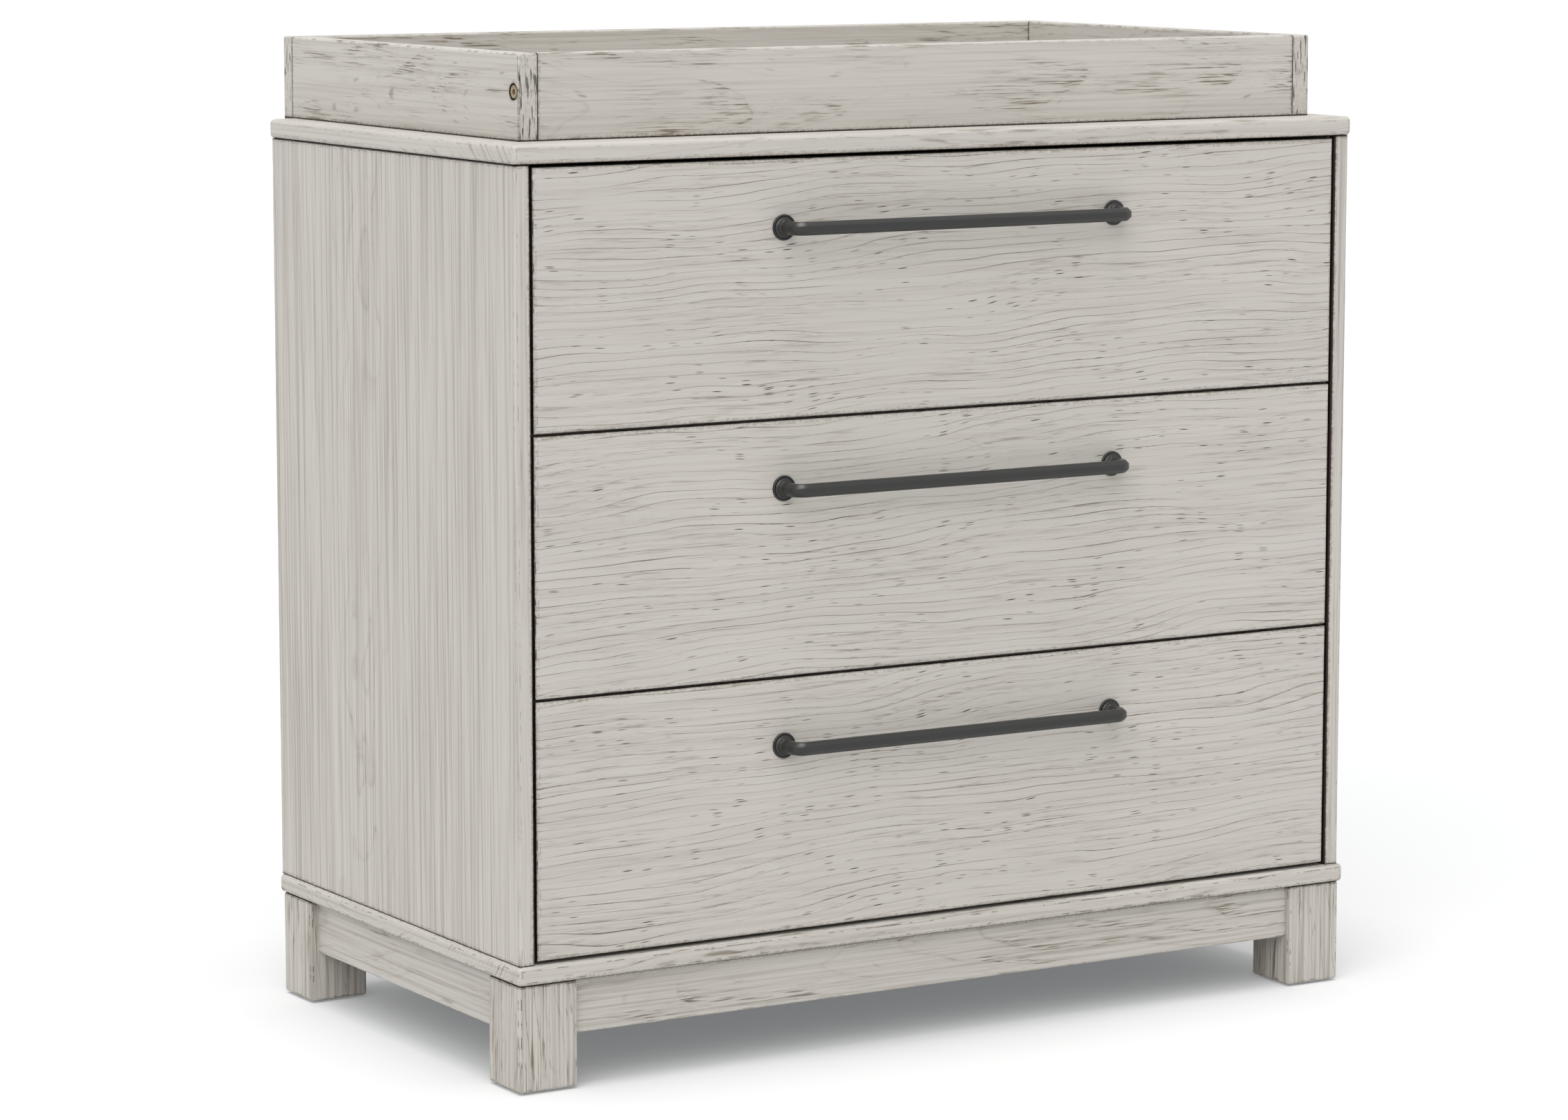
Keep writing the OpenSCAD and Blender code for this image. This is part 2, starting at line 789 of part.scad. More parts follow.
for (i = [0:2]) {
    slide_outer(i);
    ball_cage(i);
    drawer_front(i);
    mirror([1, 0, 0]) drawer_side(i);
    drawer_side(i);
    drawer_back(i);
    drawer_bottom(i);
    slide_inner(i);
    handle_bar(i);
    handle_rosettes(i);
    handle_screws(i);
}
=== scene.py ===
"""Changing table: finishes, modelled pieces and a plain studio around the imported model."""

import math
from functools import partial

import bmesh
import bpy
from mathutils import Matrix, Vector, noise


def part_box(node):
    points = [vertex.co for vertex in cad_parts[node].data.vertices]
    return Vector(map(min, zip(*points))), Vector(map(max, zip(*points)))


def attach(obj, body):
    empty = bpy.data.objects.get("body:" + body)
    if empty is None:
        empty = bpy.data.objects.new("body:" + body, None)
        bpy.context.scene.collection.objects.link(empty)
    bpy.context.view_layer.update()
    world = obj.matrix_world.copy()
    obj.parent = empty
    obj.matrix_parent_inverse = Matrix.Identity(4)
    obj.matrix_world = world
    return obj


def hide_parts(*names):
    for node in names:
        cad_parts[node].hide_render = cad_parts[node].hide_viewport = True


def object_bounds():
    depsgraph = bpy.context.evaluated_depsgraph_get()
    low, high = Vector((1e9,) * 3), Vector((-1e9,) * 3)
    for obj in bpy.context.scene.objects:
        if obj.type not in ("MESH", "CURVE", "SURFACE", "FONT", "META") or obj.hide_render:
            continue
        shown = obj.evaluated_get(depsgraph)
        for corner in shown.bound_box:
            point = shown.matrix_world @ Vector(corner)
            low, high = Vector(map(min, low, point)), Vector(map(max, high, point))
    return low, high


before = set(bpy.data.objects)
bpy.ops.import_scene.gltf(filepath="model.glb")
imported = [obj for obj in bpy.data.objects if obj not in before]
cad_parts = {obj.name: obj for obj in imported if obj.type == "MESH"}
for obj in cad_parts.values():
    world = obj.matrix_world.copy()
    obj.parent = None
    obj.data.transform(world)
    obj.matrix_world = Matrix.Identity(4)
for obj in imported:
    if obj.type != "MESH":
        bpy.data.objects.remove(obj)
cad_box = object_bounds()

bl_info = {
    "name": "Changing table",
    "version": (1, 0, 0),
    "blender": (4, 5, 0),
    "location": "3D View > Sidebar > Changing table",
    "description": "Builds a three-drawer changing table with its finishes and a studio",
    "category": "Object",
}

MM = 0.001
LEVELS = ("top", "middle", "bottom")
SIDES = ("left", "right")
AXES = {"X": Vector((1, 0, 0)), "Y": Vector((0, 1, 0)), "Z": Vector((0, 0, 1))}

LACQUER_IOR = 1.5           # paint, lacquer and powder coat
NYLON_IOR = 1.53
RELIEF = 0.2 * MM           # depth of the fine textures on metal, plywood, hardboard and nylon
NO_SEAM = 100.0             # millimetres from a seam, where none of its glaze and painted shade is left

WEAR = 0.25 * MM            # deepest wear along a rounded edge
WEAR_PATCH = 9 * MM         # length of a worn place
WEAR_BIAS = 0.4             # added to the noise, so that most of an edge is worn a little
CUT_STEP = 14 * MM          # boards are cut this often, so that worn edges have points to move
CUT_FROM = 150 * MM         # shortest side that is cut
ROUND_STEPS = 5             # faces round an edge
FLAT = 0.998                # a face is shaded flat where its normal has this share along one axis
HOLE_FACES = 48
ROSETTE_FACES = 56

# The setting that a node's second word gives, as in "Math ADD".
MODES = {"Math": "operation", "VectorMath": "operation", "MapRange": "interpolation_type",
         "Mix": "data_type", "TexWhiteNoise": "noise_dimensions"}

RAMP = "MapRange SMOOTHSTEP"        # a step that eases in and out

# Inputs of the grain, by kind. Places and distances are in millimetres.
GRAIN_INPUTS = {
    "Vector": ("Position", "Normal", "Along", "Across", "Depth", "Low", "High", "Shift"),
    "Float": ("Pith across", "Pith depth", "Pith along", "Slope", "Tilt", "Ring spacing", "Warp", "Lines",
              "Streaks", "Pores", "Brush", "Specks", "Edge round", "Wrap ends", "Seam distance"),
    "Color": ("Paint", "Grain", "Glaze"),
}

# Noise stretched along the grain: length and width of its patches in millimetres, its detail, and an offset
# that gives each its own figure. Brush lines are three times as wide as real ones, so that they show.
GRAIN_NOISE = {
    "wander": (300.0, 110.0, 1.0, 0.0),
    "ripple": (85.0, 30.0, 1.0, 7.0),
    "patch": (140.0, 26.0, 1.0, 3.0),
    "streak": (44.0, 1.6, 2.0, 11.0),
    "deep streak": (26.0, 1.4, 2.0, 13.0),
    "brush": (260.0, 3.0, 2.0, 17.0),
    "open pores": (100.0, 26.0, 1.0, 23.0),
    "tone": (240.0, 45.0, 2.0, 31.0),
}


# ---- Small helpers ----

def linear(code):
    """An sRGB hex colour such as "#C4C1BA" as linear red, green and blue."""
    parts = [int(code[i:i + 2], 16) / 255 for i in (1, 3, 5)]
    return tuple(p / 12.92 if p <= 0.04045 else ((p + 0.055) / 1.055) ** 2.4 for p in parts)


def add(tree, kind, inputs=(), **settings):
    """Adds a node with its settings, and fills or links its inputs.

    A second word in kind gives the node's mode. Inputs come in order, or by name or number. Each is a
    value, a socket, or a node, which stands for its first output in use.
    """
    kind, _, mode = kind.partition(" ")
    made = tree.nodes.new(kind if kind.startswith("Node") else "ShaderNode" + kind)
    if mode:
        settings[MODES[kind]] = mode
    for name, value in settings.items():
        setattr(made, name, value)
    for key, value in inputs.items() if isinstance(inputs, dict) else enumerate(inputs):
        if isinstance(value, bpy.types.Node):
            value = next(output for output in value.outputs if output.enabled)
        if isinstance(value, bpy.types.NodeSocket):
            tree.links.new(value, made.inputs[key])
        else:
            made.inputs[key].default_value = value
    return made


def new_material(name):
    """An empty node material, and the add function for its tree."""
    material = bpy.data.materials.new(name)
    material.use_nodes = True
    material.node_tree.nodes.clear()
    return material, partial(add, material.node_tree)


def finished(material, surface, height, strength, depth=RELIEF):
    """Ends a material with its surface and a relief: a height, its strength, and its depth in metres."""
    tree = material.node_tree
    bump = add(tree, "Bump", {"Height": height, "Strength": strength, "Distance": depth})
    shader = add(tree, "BsdfPrincipled", {**surface, "Normal": bump})
    add(tree, "OutputMaterial", {"Surface": shader})
    return material


def colour_of(values):
    """A colour property as the four numbers that a socket takes."""
    return (*values, 1.0)


def give(node, material):
    """Puts a material on a CAD node, whose mesh stays as it is."""
    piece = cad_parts[node]
    piece.data.materials.clear()
    piece.data.materials.append(material)


def object_from(bm, name, *materials):
    """Turns a bmesh into an object in the scene."""
    mesh = bpy.data.meshes.new(name)
    bm.to_mesh(mesh)
    bm.free()
    for material in materials:
        mesh.materials.append(material)
    made = bpy.data.objects.new(name, mesh)
    bpy.context.scene.collection.objects.link(made)
    return made


def piece_from(bm, name, material, body, node):
    """Turns a bmesh into a piece that rides on a body and stands for a CAD node."""
    piece = object_from(bm, name, material)
    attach(piece, body)
    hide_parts(node)
    return piece


# ---- Materials ----

def wood_group():
    """Whitewashed wood: paint rubbed over wire-brushed grain, with dark glaze left in the low places
    and dark glaze with painted shade in the seams and gaps.

    The grain is a solid pattern: growth rings round a pith line that runs along the board, so that each
    face of a board shows its own cut through the same rings.
    """
    name = "Whitewashed grain"
    if name in bpy.data.node_groups:
        return bpy.data.node_groups[name]
    tree = bpy.data.node_groups.new(name, "ShaderNodeTree")
    node = partial(add, tree)
    for kind, labels in GRAIN_INPUTS.items():
        for label in labels:
            tree.interface.new_socket(label, in_out="INPUT", socket_type="NodeSocket" + kind)
    for label, kind in (("Color", "Color"), ("Height", "Float")):
        tree.interface.new_socket(label, in_out="OUTPUT", socket_type="NodeSocket" + kind)
    given = node("NodeGroupInput").outputs

    # End grain is where the surface faces along the board. A wrapped end takes the long grain instead.
    facing = node("VectorMath DOT_PRODUCT", [given["Normal"], given["Along"]])
    end = node(RAMP, [node("Math ABSOLUTE", [facing]), 0.6, 0.8])
    wrap = node("Math MULTIPLY", [end, given["Wrap ends"]])
    raw_end = node("Math SUBTRACT", [end, wrap])
    long_face = node("Math SUBTRACT", [1.0, raw_end])
    place = node("VectorMath ADD", [given["Position"], given["Shift"]])
    along_0, across_0, depth = [node("VectorMath DOT_PRODUCT", [place, given[axis]])
                                for axis in ("Along", "Across", "Depth")]
    swap = node("Math MULTIPLY", [wrap, node("Math SUBTRACT", [across_0, along_0])])
    along = node("Math ADD", [along_0, swap])
    across = node("Math SUBTRACT", [across_0, swap])

    def scaled(*measures):
        """A place in a pattern, from three pairs of a distance and the length that counts as one."""
        return node("CombineXYZ", [node("Math DIVIDE", measure) for measure in measures])

    def grain_noise(name, third=None):
        """Noise stretched along the grain. Its third direction is the board's depth, or the one given."""
        length, width, detail, offset = GRAIN_NOISE[name]
        if third is None:
            third = node("Math DIVIDE", [depth, width])
        at = node("CombineXYZ", [node("Math DIVIDE", [along, length]),
                                 node("Math DIVIDE", [across, width]),
                                 node("Math ADD", [third, offset])])
        return node("TexNoise", {"Vector": at, "Scale": 1.0, "Detail": detail, "Roughness": 0.55})

    def either_way(source, size):
        """Noise as a change to either side, of at most half of size."""
        return node("Math MULTIPLY", [node("Math SUBTRACT", [source, 0.5]), size])

    # Growth rings: distance from the pith, which may lean in the board, bent by the wander of the trunk
    # and a ripple of 7 mm.
    wander = either_way(grain_noise("wander"), given["Warp"])
    ripple = either_way(grain_noise("ripple"), 7.0)
    from_pith = node("Math SUBTRACT", [along_0, given["Pith along"]])
    sides = []
    for measured, pith, lean in ((across_0, "Pith across", "Slope"), (depth, "Pith depth", "Tilt")):
        straight = node("Math SUBTRACT", [measured, given[pith]])
        sides.append(node("Math MULTIPLY_ADD", [from_pith, given[lean], straight]))
    radius = node("VectorMath LENGTH", [node("CombineXYZ", sides)])
    bent = node("Math ADD", [radius, node("Math ADD", [wander, ripple])])
    ring = node("Math DIVIDE", [bent, given["Ring spacing"]])
    index = node("Math FLOOR", [ring])
    part = node("Math FRACT", [ring])
    luck = node("TexWhiteNoise 1D", {"W": index})
    nearer = node("Math MINIMUM", [part, node("Math SUBTRACT", [1.0, part])])
    off_line = node("Math MULTIPLY", [nearer, given["Ring spacing"]])
    line = node(RAMP, [off_line, 0.08, 0.55, 1.0, 0.0])

    def along_ring(length, row, low, high):
        """A random strength that changes along each growth line, and from line to line."""
        apart = node("Math MULTIPLY", [index, 5.3])
        at = node("CombineXYZ", [node("Math DIVIDE", [along, length]), apart, row])
        made = node("TexNoise", {"Vector": at, "Scale": 1.0, "Detail": 2.0})
        return node(RAMP, [made, low, high])

    strength = node("Math MULTIPLY", [along_ring(130.0, 0.0, 0.36, 0.60), node("Math ADD", [0.25, luck])])
    line = node("Math MULTIPLY", [line, strength])
    dash = along_ring(13.0, 4.0, 0.58, 0.68)

    # Wire-brushed streaks that follow the rings: strongest in late wood and in patches, none on end grain.
    late = node(RAMP, [part, 0.25, 0.95])
    patch = node(RAMP, [grain_noise("patch"), 0.40, 0.60])
    patch = node("Math MULTIPLY", [patch, long_face])
    by_ring = node("Math DIVIDE", [bent, 3.2])
    streak = node(RAMP, [grain_noise("streak", by_ring), 0.49, 0.68])
    share = node("Math MULTIPLY", [patch, node("Math ADD", [0.2, late])])
    streak = node("Math MULTIPLY", [streak, share])
    deep = node(RAMP, [grain_noise("deep streak", by_ring), 0.62, 0.72])
    deep = node("Math MULTIPLY", [deep, patch])
    brushed = node(RAMP, [grain_noise("brush"), 0.40, 0.72])

    # Open pores: short dashes, drawn about twice as wide as real ones so that they show.
    cells = node("TexVoronoi", {"Vector": scaled((along, 24.0), (bent, 1.7), (depth, 4.0)), "Scale": 1.0})
    fate = node("SeparateColor", [cells.outputs["Color"]]).outputs
    chosen = node(RAMP, [fate[0], 0.62, 0.66])
    open_here = node(RAMP, [grain_noise("open pores"), 0.46, 0.58])
    pore = node(RAMP, [cells.outputs["Distance"], 0.10, 0.30, 1.0, 0.0])
    pore = node("Math MULTIPLY", [node("Math MULTIPLY", [pore, chosen]), open_here])
    black = node(RAMP, [fate[1], 0.30, 0.85])

    # Specks of glaze along the edges. The distance to the board's nearest edge is the second smallest
    # distance to a pair of its faces.
    inside = node("VectorMath MINIMUM",
                  [node("VectorMath SUBTRACT", [given["Position"], given["Low"]]),
                   node("VectorMath SUBTRACT", [given["High"], given["Position"]])])
    gap = node("SeparateXYZ", [inside]).outputs
    smaller = node("Math MINIMUM", [gap[0], gap[1]])
    larger = node("Math MAXIMUM", [gap[0], gap[1]])
    edge = node("Math MAXIMUM", [smaller, node("Math MINIMUM", [larger, gap[2]])])
    chips = node("TexNoise", {"Vector": place, "Scale": 0.10, "Detail": 3.0})
    chipped = node("Math MULTIPLY_ADD", [chips, 1.2, edge])
    off_round = node("Math ABSOLUTE", [node("Math SUBTRACT", [chipped, given["Edge round"]])])
    at_edge = node(RAMP, [off_round, 0.1, 0.7, 1.0, 0.0])
    speck = node("Math MULTIPLY", [at_edge, node(RAMP, [chips, 0.53, 0.60])])

    # Glaze and painted shade in seams and gaps, with a ragged border and a paler rim of both round it.
    ragged = node("TexNoise", {"Vector": place, "Scale": 0.35, "Detail": 2.0})
    border = node("Math ADD", [given["Seam distance"], node("Math SUBTRACT", [ragged, 0.62])])
    seam = node(RAMP, [border, 0.0, 0.55, 1.0, 0.0])
    border = node("Math ADD", [given["Seam distance"], either_way(ragged, 7.0)])
    stain = node(RAMP, [border, 0.0, 3.2, 0.42, 0.0])

    # End grain: broken dark dashes where the rings cross the end of the board.
    cut = node("TexNoise", {"Vector": scaled((depth, 1.8), (across_0, 24.0), (bent, 14.0)),
                            "Scale": 1.0, "Detail": 2.0})
    ends = node("Math MULTIPLY", [raw_end, node(RAMP, [cut, 0.56, 0.64])])

    def together(*marks):
        """Adds up marks, each times its strength."""
        total = 0.0
        for mark, strength in marks:
            total = node("Math MULTIPLY_ADD", [mark, strength, total])
        return total

    tint = together((line, given["Lines"]), (streak, given["Streaks"]), (brushed, given["Brush"]),
                    (pore, given["Pores"]), (stain, 1.0))
    tint = node("Math MINIMUM", [tint, 1.0])
    dark = together((node("Math MULTIPLY", [line, dash]), given["Lines"]),
                    (node("Math MULTIPLY", [pore, black]), given["Pores"]),
                    (node("Math MULTIPLY", [deep, 0.35]), given["Streaks"]),
                    (speck, given["Specks"]), (ends, 0.8))
    dark = node("Math MINIMUM", [node("Math MAXIMUM", [dark, seam]), 1.0])

    # A broad, faint change of tone, as thin paint gives over wood.
    value = node("Math ADD", [1.0, either_way(grain_noise("tone"), 0.11)])
    paint = node("HueSaturation", {"Value": value, "Color": given["Paint"]})
    tinted = node("Mix RGBA", {0: tint, 6: paint, 7: given["Grain"]})
    # The dark marks, the painted seam shade among them, take the glaze colour here.
    glazed_and_shaded = node("Mix RGBA", {0: dark, 6: tinted, 7: given["Glaze"]})
    height = node("Math SUBTRACT", [1.0, node("Math MULTIPLY_ADD", [tint, 0.5, dark])])
    node("NodeGroupOutput", [glazed_and_shaded, height])
    return tree


def whitewashed_wood(name, box, figure, seams=(), painted_recess_shade=None):
    """Solid rubberwood, wire-brushed and whitewashed: pale warm grey paint with a dull lacquer.

    box is the board's low and high corner, and figure is its cut and grain. A seam is a zone painted
    dark, with glaze and painted shade: one or more axes, each with a stretch along it, in metres. The
    painted shade in a round recess is a centre, an axis and a radius.
    """
    wood = bpy.context.scene.table_wood
    material, node = new_material(name)
    coordinates = node("TexCoord").outputs
    place = node("VectorMath MULTIPLY", [coordinates["Object"], (1 / MM, 1 / MM, 1 / MM)])
    split = node("SeparateXYZ", [place]).outputs
    nearest = NO_SEAM
    for stretches in seams:
        outside = -NO_SEAM
        for axis, low, high in stretches:
            here = split["XYZ".index(axis)]
            for ends in ([low / MM, here], [here, high / MM]):
                outside = node("Math MAXIMUM", [outside, node("Math SUBTRACT", ends)])
        nearest = node("Math MINIMUM", [nearest, outside])
    # Painted shade in a round recess, darkest inside its radius.
    if painted_recess_shade:
        centre, axis, radius = painted_recess_shade
        flat = node("VectorMath SUBTRACT", [place, centre / MM])
        flat = node("VectorMath MULTIPLY", [flat, Vector((1, 1, 1)) - AXES[axis]])
        outside = node("Math SUBTRACT", [node("VectorMath LENGTH", [flat]), radius / MM])
        nearest = node("Math MINIMUM", [nearest, outside])
    low, high = box
    grain = node("Group", {
        **figure, "Position": place, "Normal": coordinates["Normal"], "Low": low / MM, "High": high / MM,
        "Shift": figure["Shift"] - (low + high) / 2 / MM, "Seam distance": nearest,
        "Paint": colour_of(wood.paint), "Grain": colour_of(wood.grain), "Glaze": colour_of(wood.glaze_and_shade),
    }, node_tree=wood_group()).outputs
    return finished(material, {"Base Color": grain["Color"], "Roughness": wood.roughness,
                               "IOR": LACQUER_IOR}, grain["Height"], 0.35, wood.grain_depth)


def look(along, across, depth, pith, spacing, warp, lines, streaks, pores, specks, edge, brush=0.1,
         slope=0.0, tilt=0.0, wrap=False, shift=(0.0, 0.0, 0.0)):
    """The cut and figure of one board, as inputs of the grain.

    It gives the board's axes, its pith in millimetres from its middle, and the strength of each mark.
    """
    along, across, depth, shift = AXES[along], AXES[across], AXES[depth], Vector(shift)
    return {"Along": along, "Across": across, "Depth": depth, "Shift": shift,
            "Pith across": pith[0] + shift.dot(across), "Pith depth": pith[1] + shift.dot(depth),
            "Pith along": shift.dot(along), "Slope": slope, "Tilt": tilt, "Ring spacing": spacing,
            "Warp": warp, "Lines": lines, "Streaks": streaks, "Pores": pores, "Brush": brush,
            "Specks": specks, "Edge round": edge, "Wrap ends": 1.0 if wrap else 0.0}


def powder_coated_zinc():
    """Die-cast zinc, powder coated charcoal: satin, with a 1 mm orange-peel and browner, thinner places."""
    metal = bpy.context.scene.table_metal
    material, node = new_material("Powder-coated zinc")
    place = node("TexCoord").outputs["Object"]
    peel = node("TexNoise", {"Vector": place, "Scale": 900.0, "Detail": 2.0})
    cloud = node("TexNoise", {"Vector": place, "Scale": 60.0, "Detail": 3.0})
    rub = node(RAMP, [cloud, 0.45, 0.75, 0.0, 0.18])
    colour = node("Mix RGBA", {0: rub, 6: colour_of(metal.coat), 7: colour_of(metal.rubbed)})
    rough = node("MapRange", [cloud, 0.3, 0.7, 0.30, 0.42])
    return finished(material, {"Base Color": colour, "Roughness": rough, "IOR": LACQUER_IOR}, peel, 0.12)


def antique_brass():
    """Steel bolt heads plated in antique brass: dull tan metal, darker in stains of a few millimetres."""
    metal = bpy.context.scene.table_metal
    material, node = new_material("Antique brass plate")
    place = node("TexCoord").outputs["Object"]
    cloud = node("TexNoise", {"Vector": place, "Scale": 400.0, "Detail": 4.0})
    stain = node(RAMP, [cloud, 0.4, 0.7, 0.0, 0.6])
    colour = node("Mix RGBA", {0: stain, 6: colour_of(metal.brass), 7: colour_of(metal.brass_stain)})
    return finished(material, {"Base Color": colour, "Metallic": 0.7, "Roughness": 0.45}, cloud, 0.2)


def zinc_plated_steel():
    """Rolled steel, bright zinc plate: cool grey, with 1 mm rolling lines along the strip, 40 mm long."""
    metal = bpy.context.scene.table_metal
    material, node = new_material("Zinc-plated steel")
    place = node("TexCoord").outputs["Object"]
    rolled = node("Mapping", {"Vector": place, "Scale": (900.0, 25.0, 900.0)})
    lines = node("TexNoise", {"Vector": rolled, "Scale": 1.0, "Detail": 2.0})
    spangle = node("TexVoronoi", {"Vector": place, "Scale": 220.0})
    grey = node("SeparateColor", [spangle.outputs["Color"]])
    value = node("MapRange", [grey, 0.0, 1.0, 0.88, 1.08])
    colour = node("HueSaturation", {"Value": value, "Color": colour_of(metal.zinc)})
    rough = node("MapRange", [lines, 0.3, 0.7, 0.28, 0.42])
    return finished(material, {"Base Color": colour, "Metallic": 1.0, "Roughness": rough}, lines, 0.15)


def birch_plywood(name, along, layers):
    """Birch plywood, sanded and lacquered: pale straight grain on the faces, thin plies on the edges.

    along is the axis of the face grain, and layers is the axis through the plies. Grain lines are 1.4 mm
    wide and 83 mm long, the broad figure is fourteen times that, and a ply is 2.8 mm thick.
    """
    inner = bpy.context.scene.table_inside
    material, node = new_material(name)
    coordinates = node("TexCoord").outputs
    place = coordinates["Object"]
    stretch = Vector((1, 1, 1)) * 700.0 - AXES[along] * 688.0
    placed = node("Mapping", {"Vector": place, "Scale": stretch})
    grain = node("TexNoise", {"Vector": placed, "Scale": 1.0, "Detail": 3.0})
    broad = node("Mapping", {"Vector": place, "Scale": stretch / 14})
    figure = node("TexNoise", {"Vector": broad, "Scale": 1.0, "Detail": 2.0, "Distortion": 0.6})
    ply = node("VectorMath DOT_PRODUCT", [place, AXES[layers] / (2.8 * MM)])
    odd = node("Math PINGPONG", [ply, 1.0])
    facing = node("VectorMath DOT_PRODUCT", [coordinates["Normal"], AXES[layers]])
    edge = node("MapRange", [node("Math ABSOLUTE", [facing]), 0.3, 0.6, 0.6, 0.0])
    step = node("MapRange", [odd, 0.35, 0.65])
    plies = node("Math MULTIPLY", [step, edge])
    mark = node("MapRange", [grain, 0.4, 0.8, 0.0, 0.35])
    wave = node("MapRange", [figure, 0.35, 0.75, 0.0, 0.4])
    total = node("Math ADD", [node("Math ADD", [mark, wave]), plies], use_clamp=True)
    colour = node("Mix RGBA", {0: total, 6: colour_of(inner.birch), 7: colour_of(inner.birch_grain)})
    return finished(material, {"Base Color": colour, "Roughness": 0.5, "IOR": LACQUER_IOR}, grain, 0.15)


def hardboard():
    """Pressed hardboard, painted on its face: a flat warm grey-brown with fibre flecks of 2.4 mm."""
    inner = bpy.context.scene.table_inside
    material, node = new_material("Painted hardboard")
    place = node("TexCoord").outputs["Object"]
    fleck = node("TexNoise", {"Vector": place, "Scale": 420.0, "Detail": 5.0, "Roughness": 0.7})
    cloud = node("TexNoise", {"Vector": place, "Scale": 9.0, "Detail": 2.0})
    value = node("Math MULTIPLY", [node("MapRange", [fleck, 0.3, 0.7, 0.9, 1.07]),
                                   node("MapRange", [cloud, 0.3, 0.7, 0.95, 1.03])])
    colour = node("HueSaturation", {"Value": value, "Color": colour_of(inner.hardboard)})
    return finished(material, {"Base Color": colour, "Roughness": 0.7, "IOR": LACQUER_IOR}, fleck, 0.2)


def nylon():
    """Moulded nylon glides: dark grey-brown plastic, matt, with a spark-eroded texture of 0.7 mm."""
    inner = bpy.context.scene.table_inside
    material, node = new_material("Moulded nylon")
    place = node("TexCoord").outputs["Object"]
    grit = node("TexNoise", {"Vector": place, "Scale": 1500.0, "Detail": 2.0})
    value = node("MapRange", [grit, 0.3, 0.7, 0.85, 1.15])
    colour = node("HueSaturation", {"Value": value, "Color": colour_of(inner.glide)})
    return finished(material, {"Base Color": colour, "Roughness": 0.6, "IOR": NYLON_IOR}, grit, 0.3)


# ---- Shapes ----

def board_mesh(low, high, radius, rounded, seed):
    """A box with some edges rounded and lightly worn.

    rounded(middle, direction) says whether the edge with that middle and direction, both in units of
    the box, is rounded. Worn edges dip unevenly along their length.
    """
    size = high - low
    centre = (low + high) / 2
    bm = bmesh.new()
    bmesh.ops.create_cube(bm, size=1.0)
    for v in bm.verts:
        v.co = Vector((v.co[i] * size[i] for i in range(3))) + centre
    chosen = []
    for e in bm.edges:
        a, b = e.verts[0].co, e.verts[1].co
        middle = Vector((((a + b)[i] / 2 - centre[i]) / size[i] * 2 for i in range(3)))
        direction = [abs((b - a)[i]) > 0.5 * size[i] for i in range(3)].index(True)
        if rounded(tuple(round(c) for c in middle), "XYZ"[direction]):
            chosen.append(e)
    bmesh.ops.bevel(bm, geom=chosen, offset=radius, segments=ROUND_STEPS, profile=0.5, affect="EDGES",
                    clamp_overlap=True)
    for i, axis in enumerate("XYZ"):
        if size[i] < CUT_FROM:
            continue
        count = int(size[i] / CUT_STEP)
        for k in range(1, count):
            at = centre.copy()
            at[i] = low[i] + size[i] * k / count
            bmesh.ops.bisect_plane(bm, geom=bm.verts[:] + bm.edges[:] + bm.faces[:], plane_co=at,
                                   plane_no=AXES[axis], dist=1e-6)
    for v in bm.verts:
        gaps = sorted(min(v.co[i] - low[i], high[i] - v.co[i]) for i in range(3))
        if gaps[1] < radius * 1.01:
            dip = noise.noise(v.co / WEAR_PATCH + Vector((seed, 0, 0))) + WEAR_BIAS
            toward = Vector((max(low[i] + radius, min(v.co[i], high[i] - radius)) for i in range(3))) - v.co
            near = 1 - gaps[1] / radius
            if toward.length > 1e-7:
                v.co += toward.normalized() * max(0.0, dip) * WEAR * max(0.0, near)
    bm.normal_update()
    for f in bm.faces:
        f.smooth = max(abs(c) for c in f.normal) < FLAT
    return bm


def every_edge(middle, direction):
    """All twelve edges of a board."""
    return True


def board(node, label, figure, seams, radius, rounded, seed, body="cabinet", painted_recess_shade=None, holes=()):
    """A modelled board in place of its CAD node, in wood of its own.

    Each hole is a cylinder: a centre, an axis, a radius and a depth.
    """
    low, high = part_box(node)
    material = whitewashed_wood("Whitewashed wood, " + label, (low, high), figure, seams, painted_recess_shade)
    bm = board_mesh(low, high, radius, rounded, seed)
    piece = piece_from(bm, node + "_board", material, body, node)
    for hole in holes:
        cutter = cylinder_object(*hole)
        cut = piece.modifiers.new("Hole", "BOOLEAN")
        cut.operation = "DIFFERENCE"
        cut.solver = "EXACT"
        cut.object = cutter
        graph = bpy.context.evaluated_depsgraph_get()
        mesh = bpy.data.meshes.new_from_object(piece.evaluated_get(graph))
        piece.modifiers.remove(cut)
        piece.data = mesh
        bpy.data.objects.remove(cutter)


def cylinder_object(centre, axis, radius, depth):
    """A plain closed cylinder, used only to cut a hole."""
    bm = bmesh.new()
    bmesh.ops.create_cone(bm, cap_ends=True, segments=HOLE_FACES, radius1=radius, radius2=radius,
                          depth=depth)
    turn = AXES[axis].to_track_quat("Z", "Y")
    for v in bm.verts:
        v.co = turn @ v.co + centre
    return object_from(bm, "cutter")


def ring_faces(bm, rings):
    """Joins rings of vertices into a smooth tube with flat ends."""
    count = len(rings[0])
    for first, second in zip(rings, rings[1:]):
        for k in range(count):
            f = bm.faces.new((first[k], first[(k + 1) % count], second[(k + 1) % count], second[k]))
            f.smooth = True
    bm.faces.new(reversed(rings[0]))
    bm.faces.new(rings[-1])


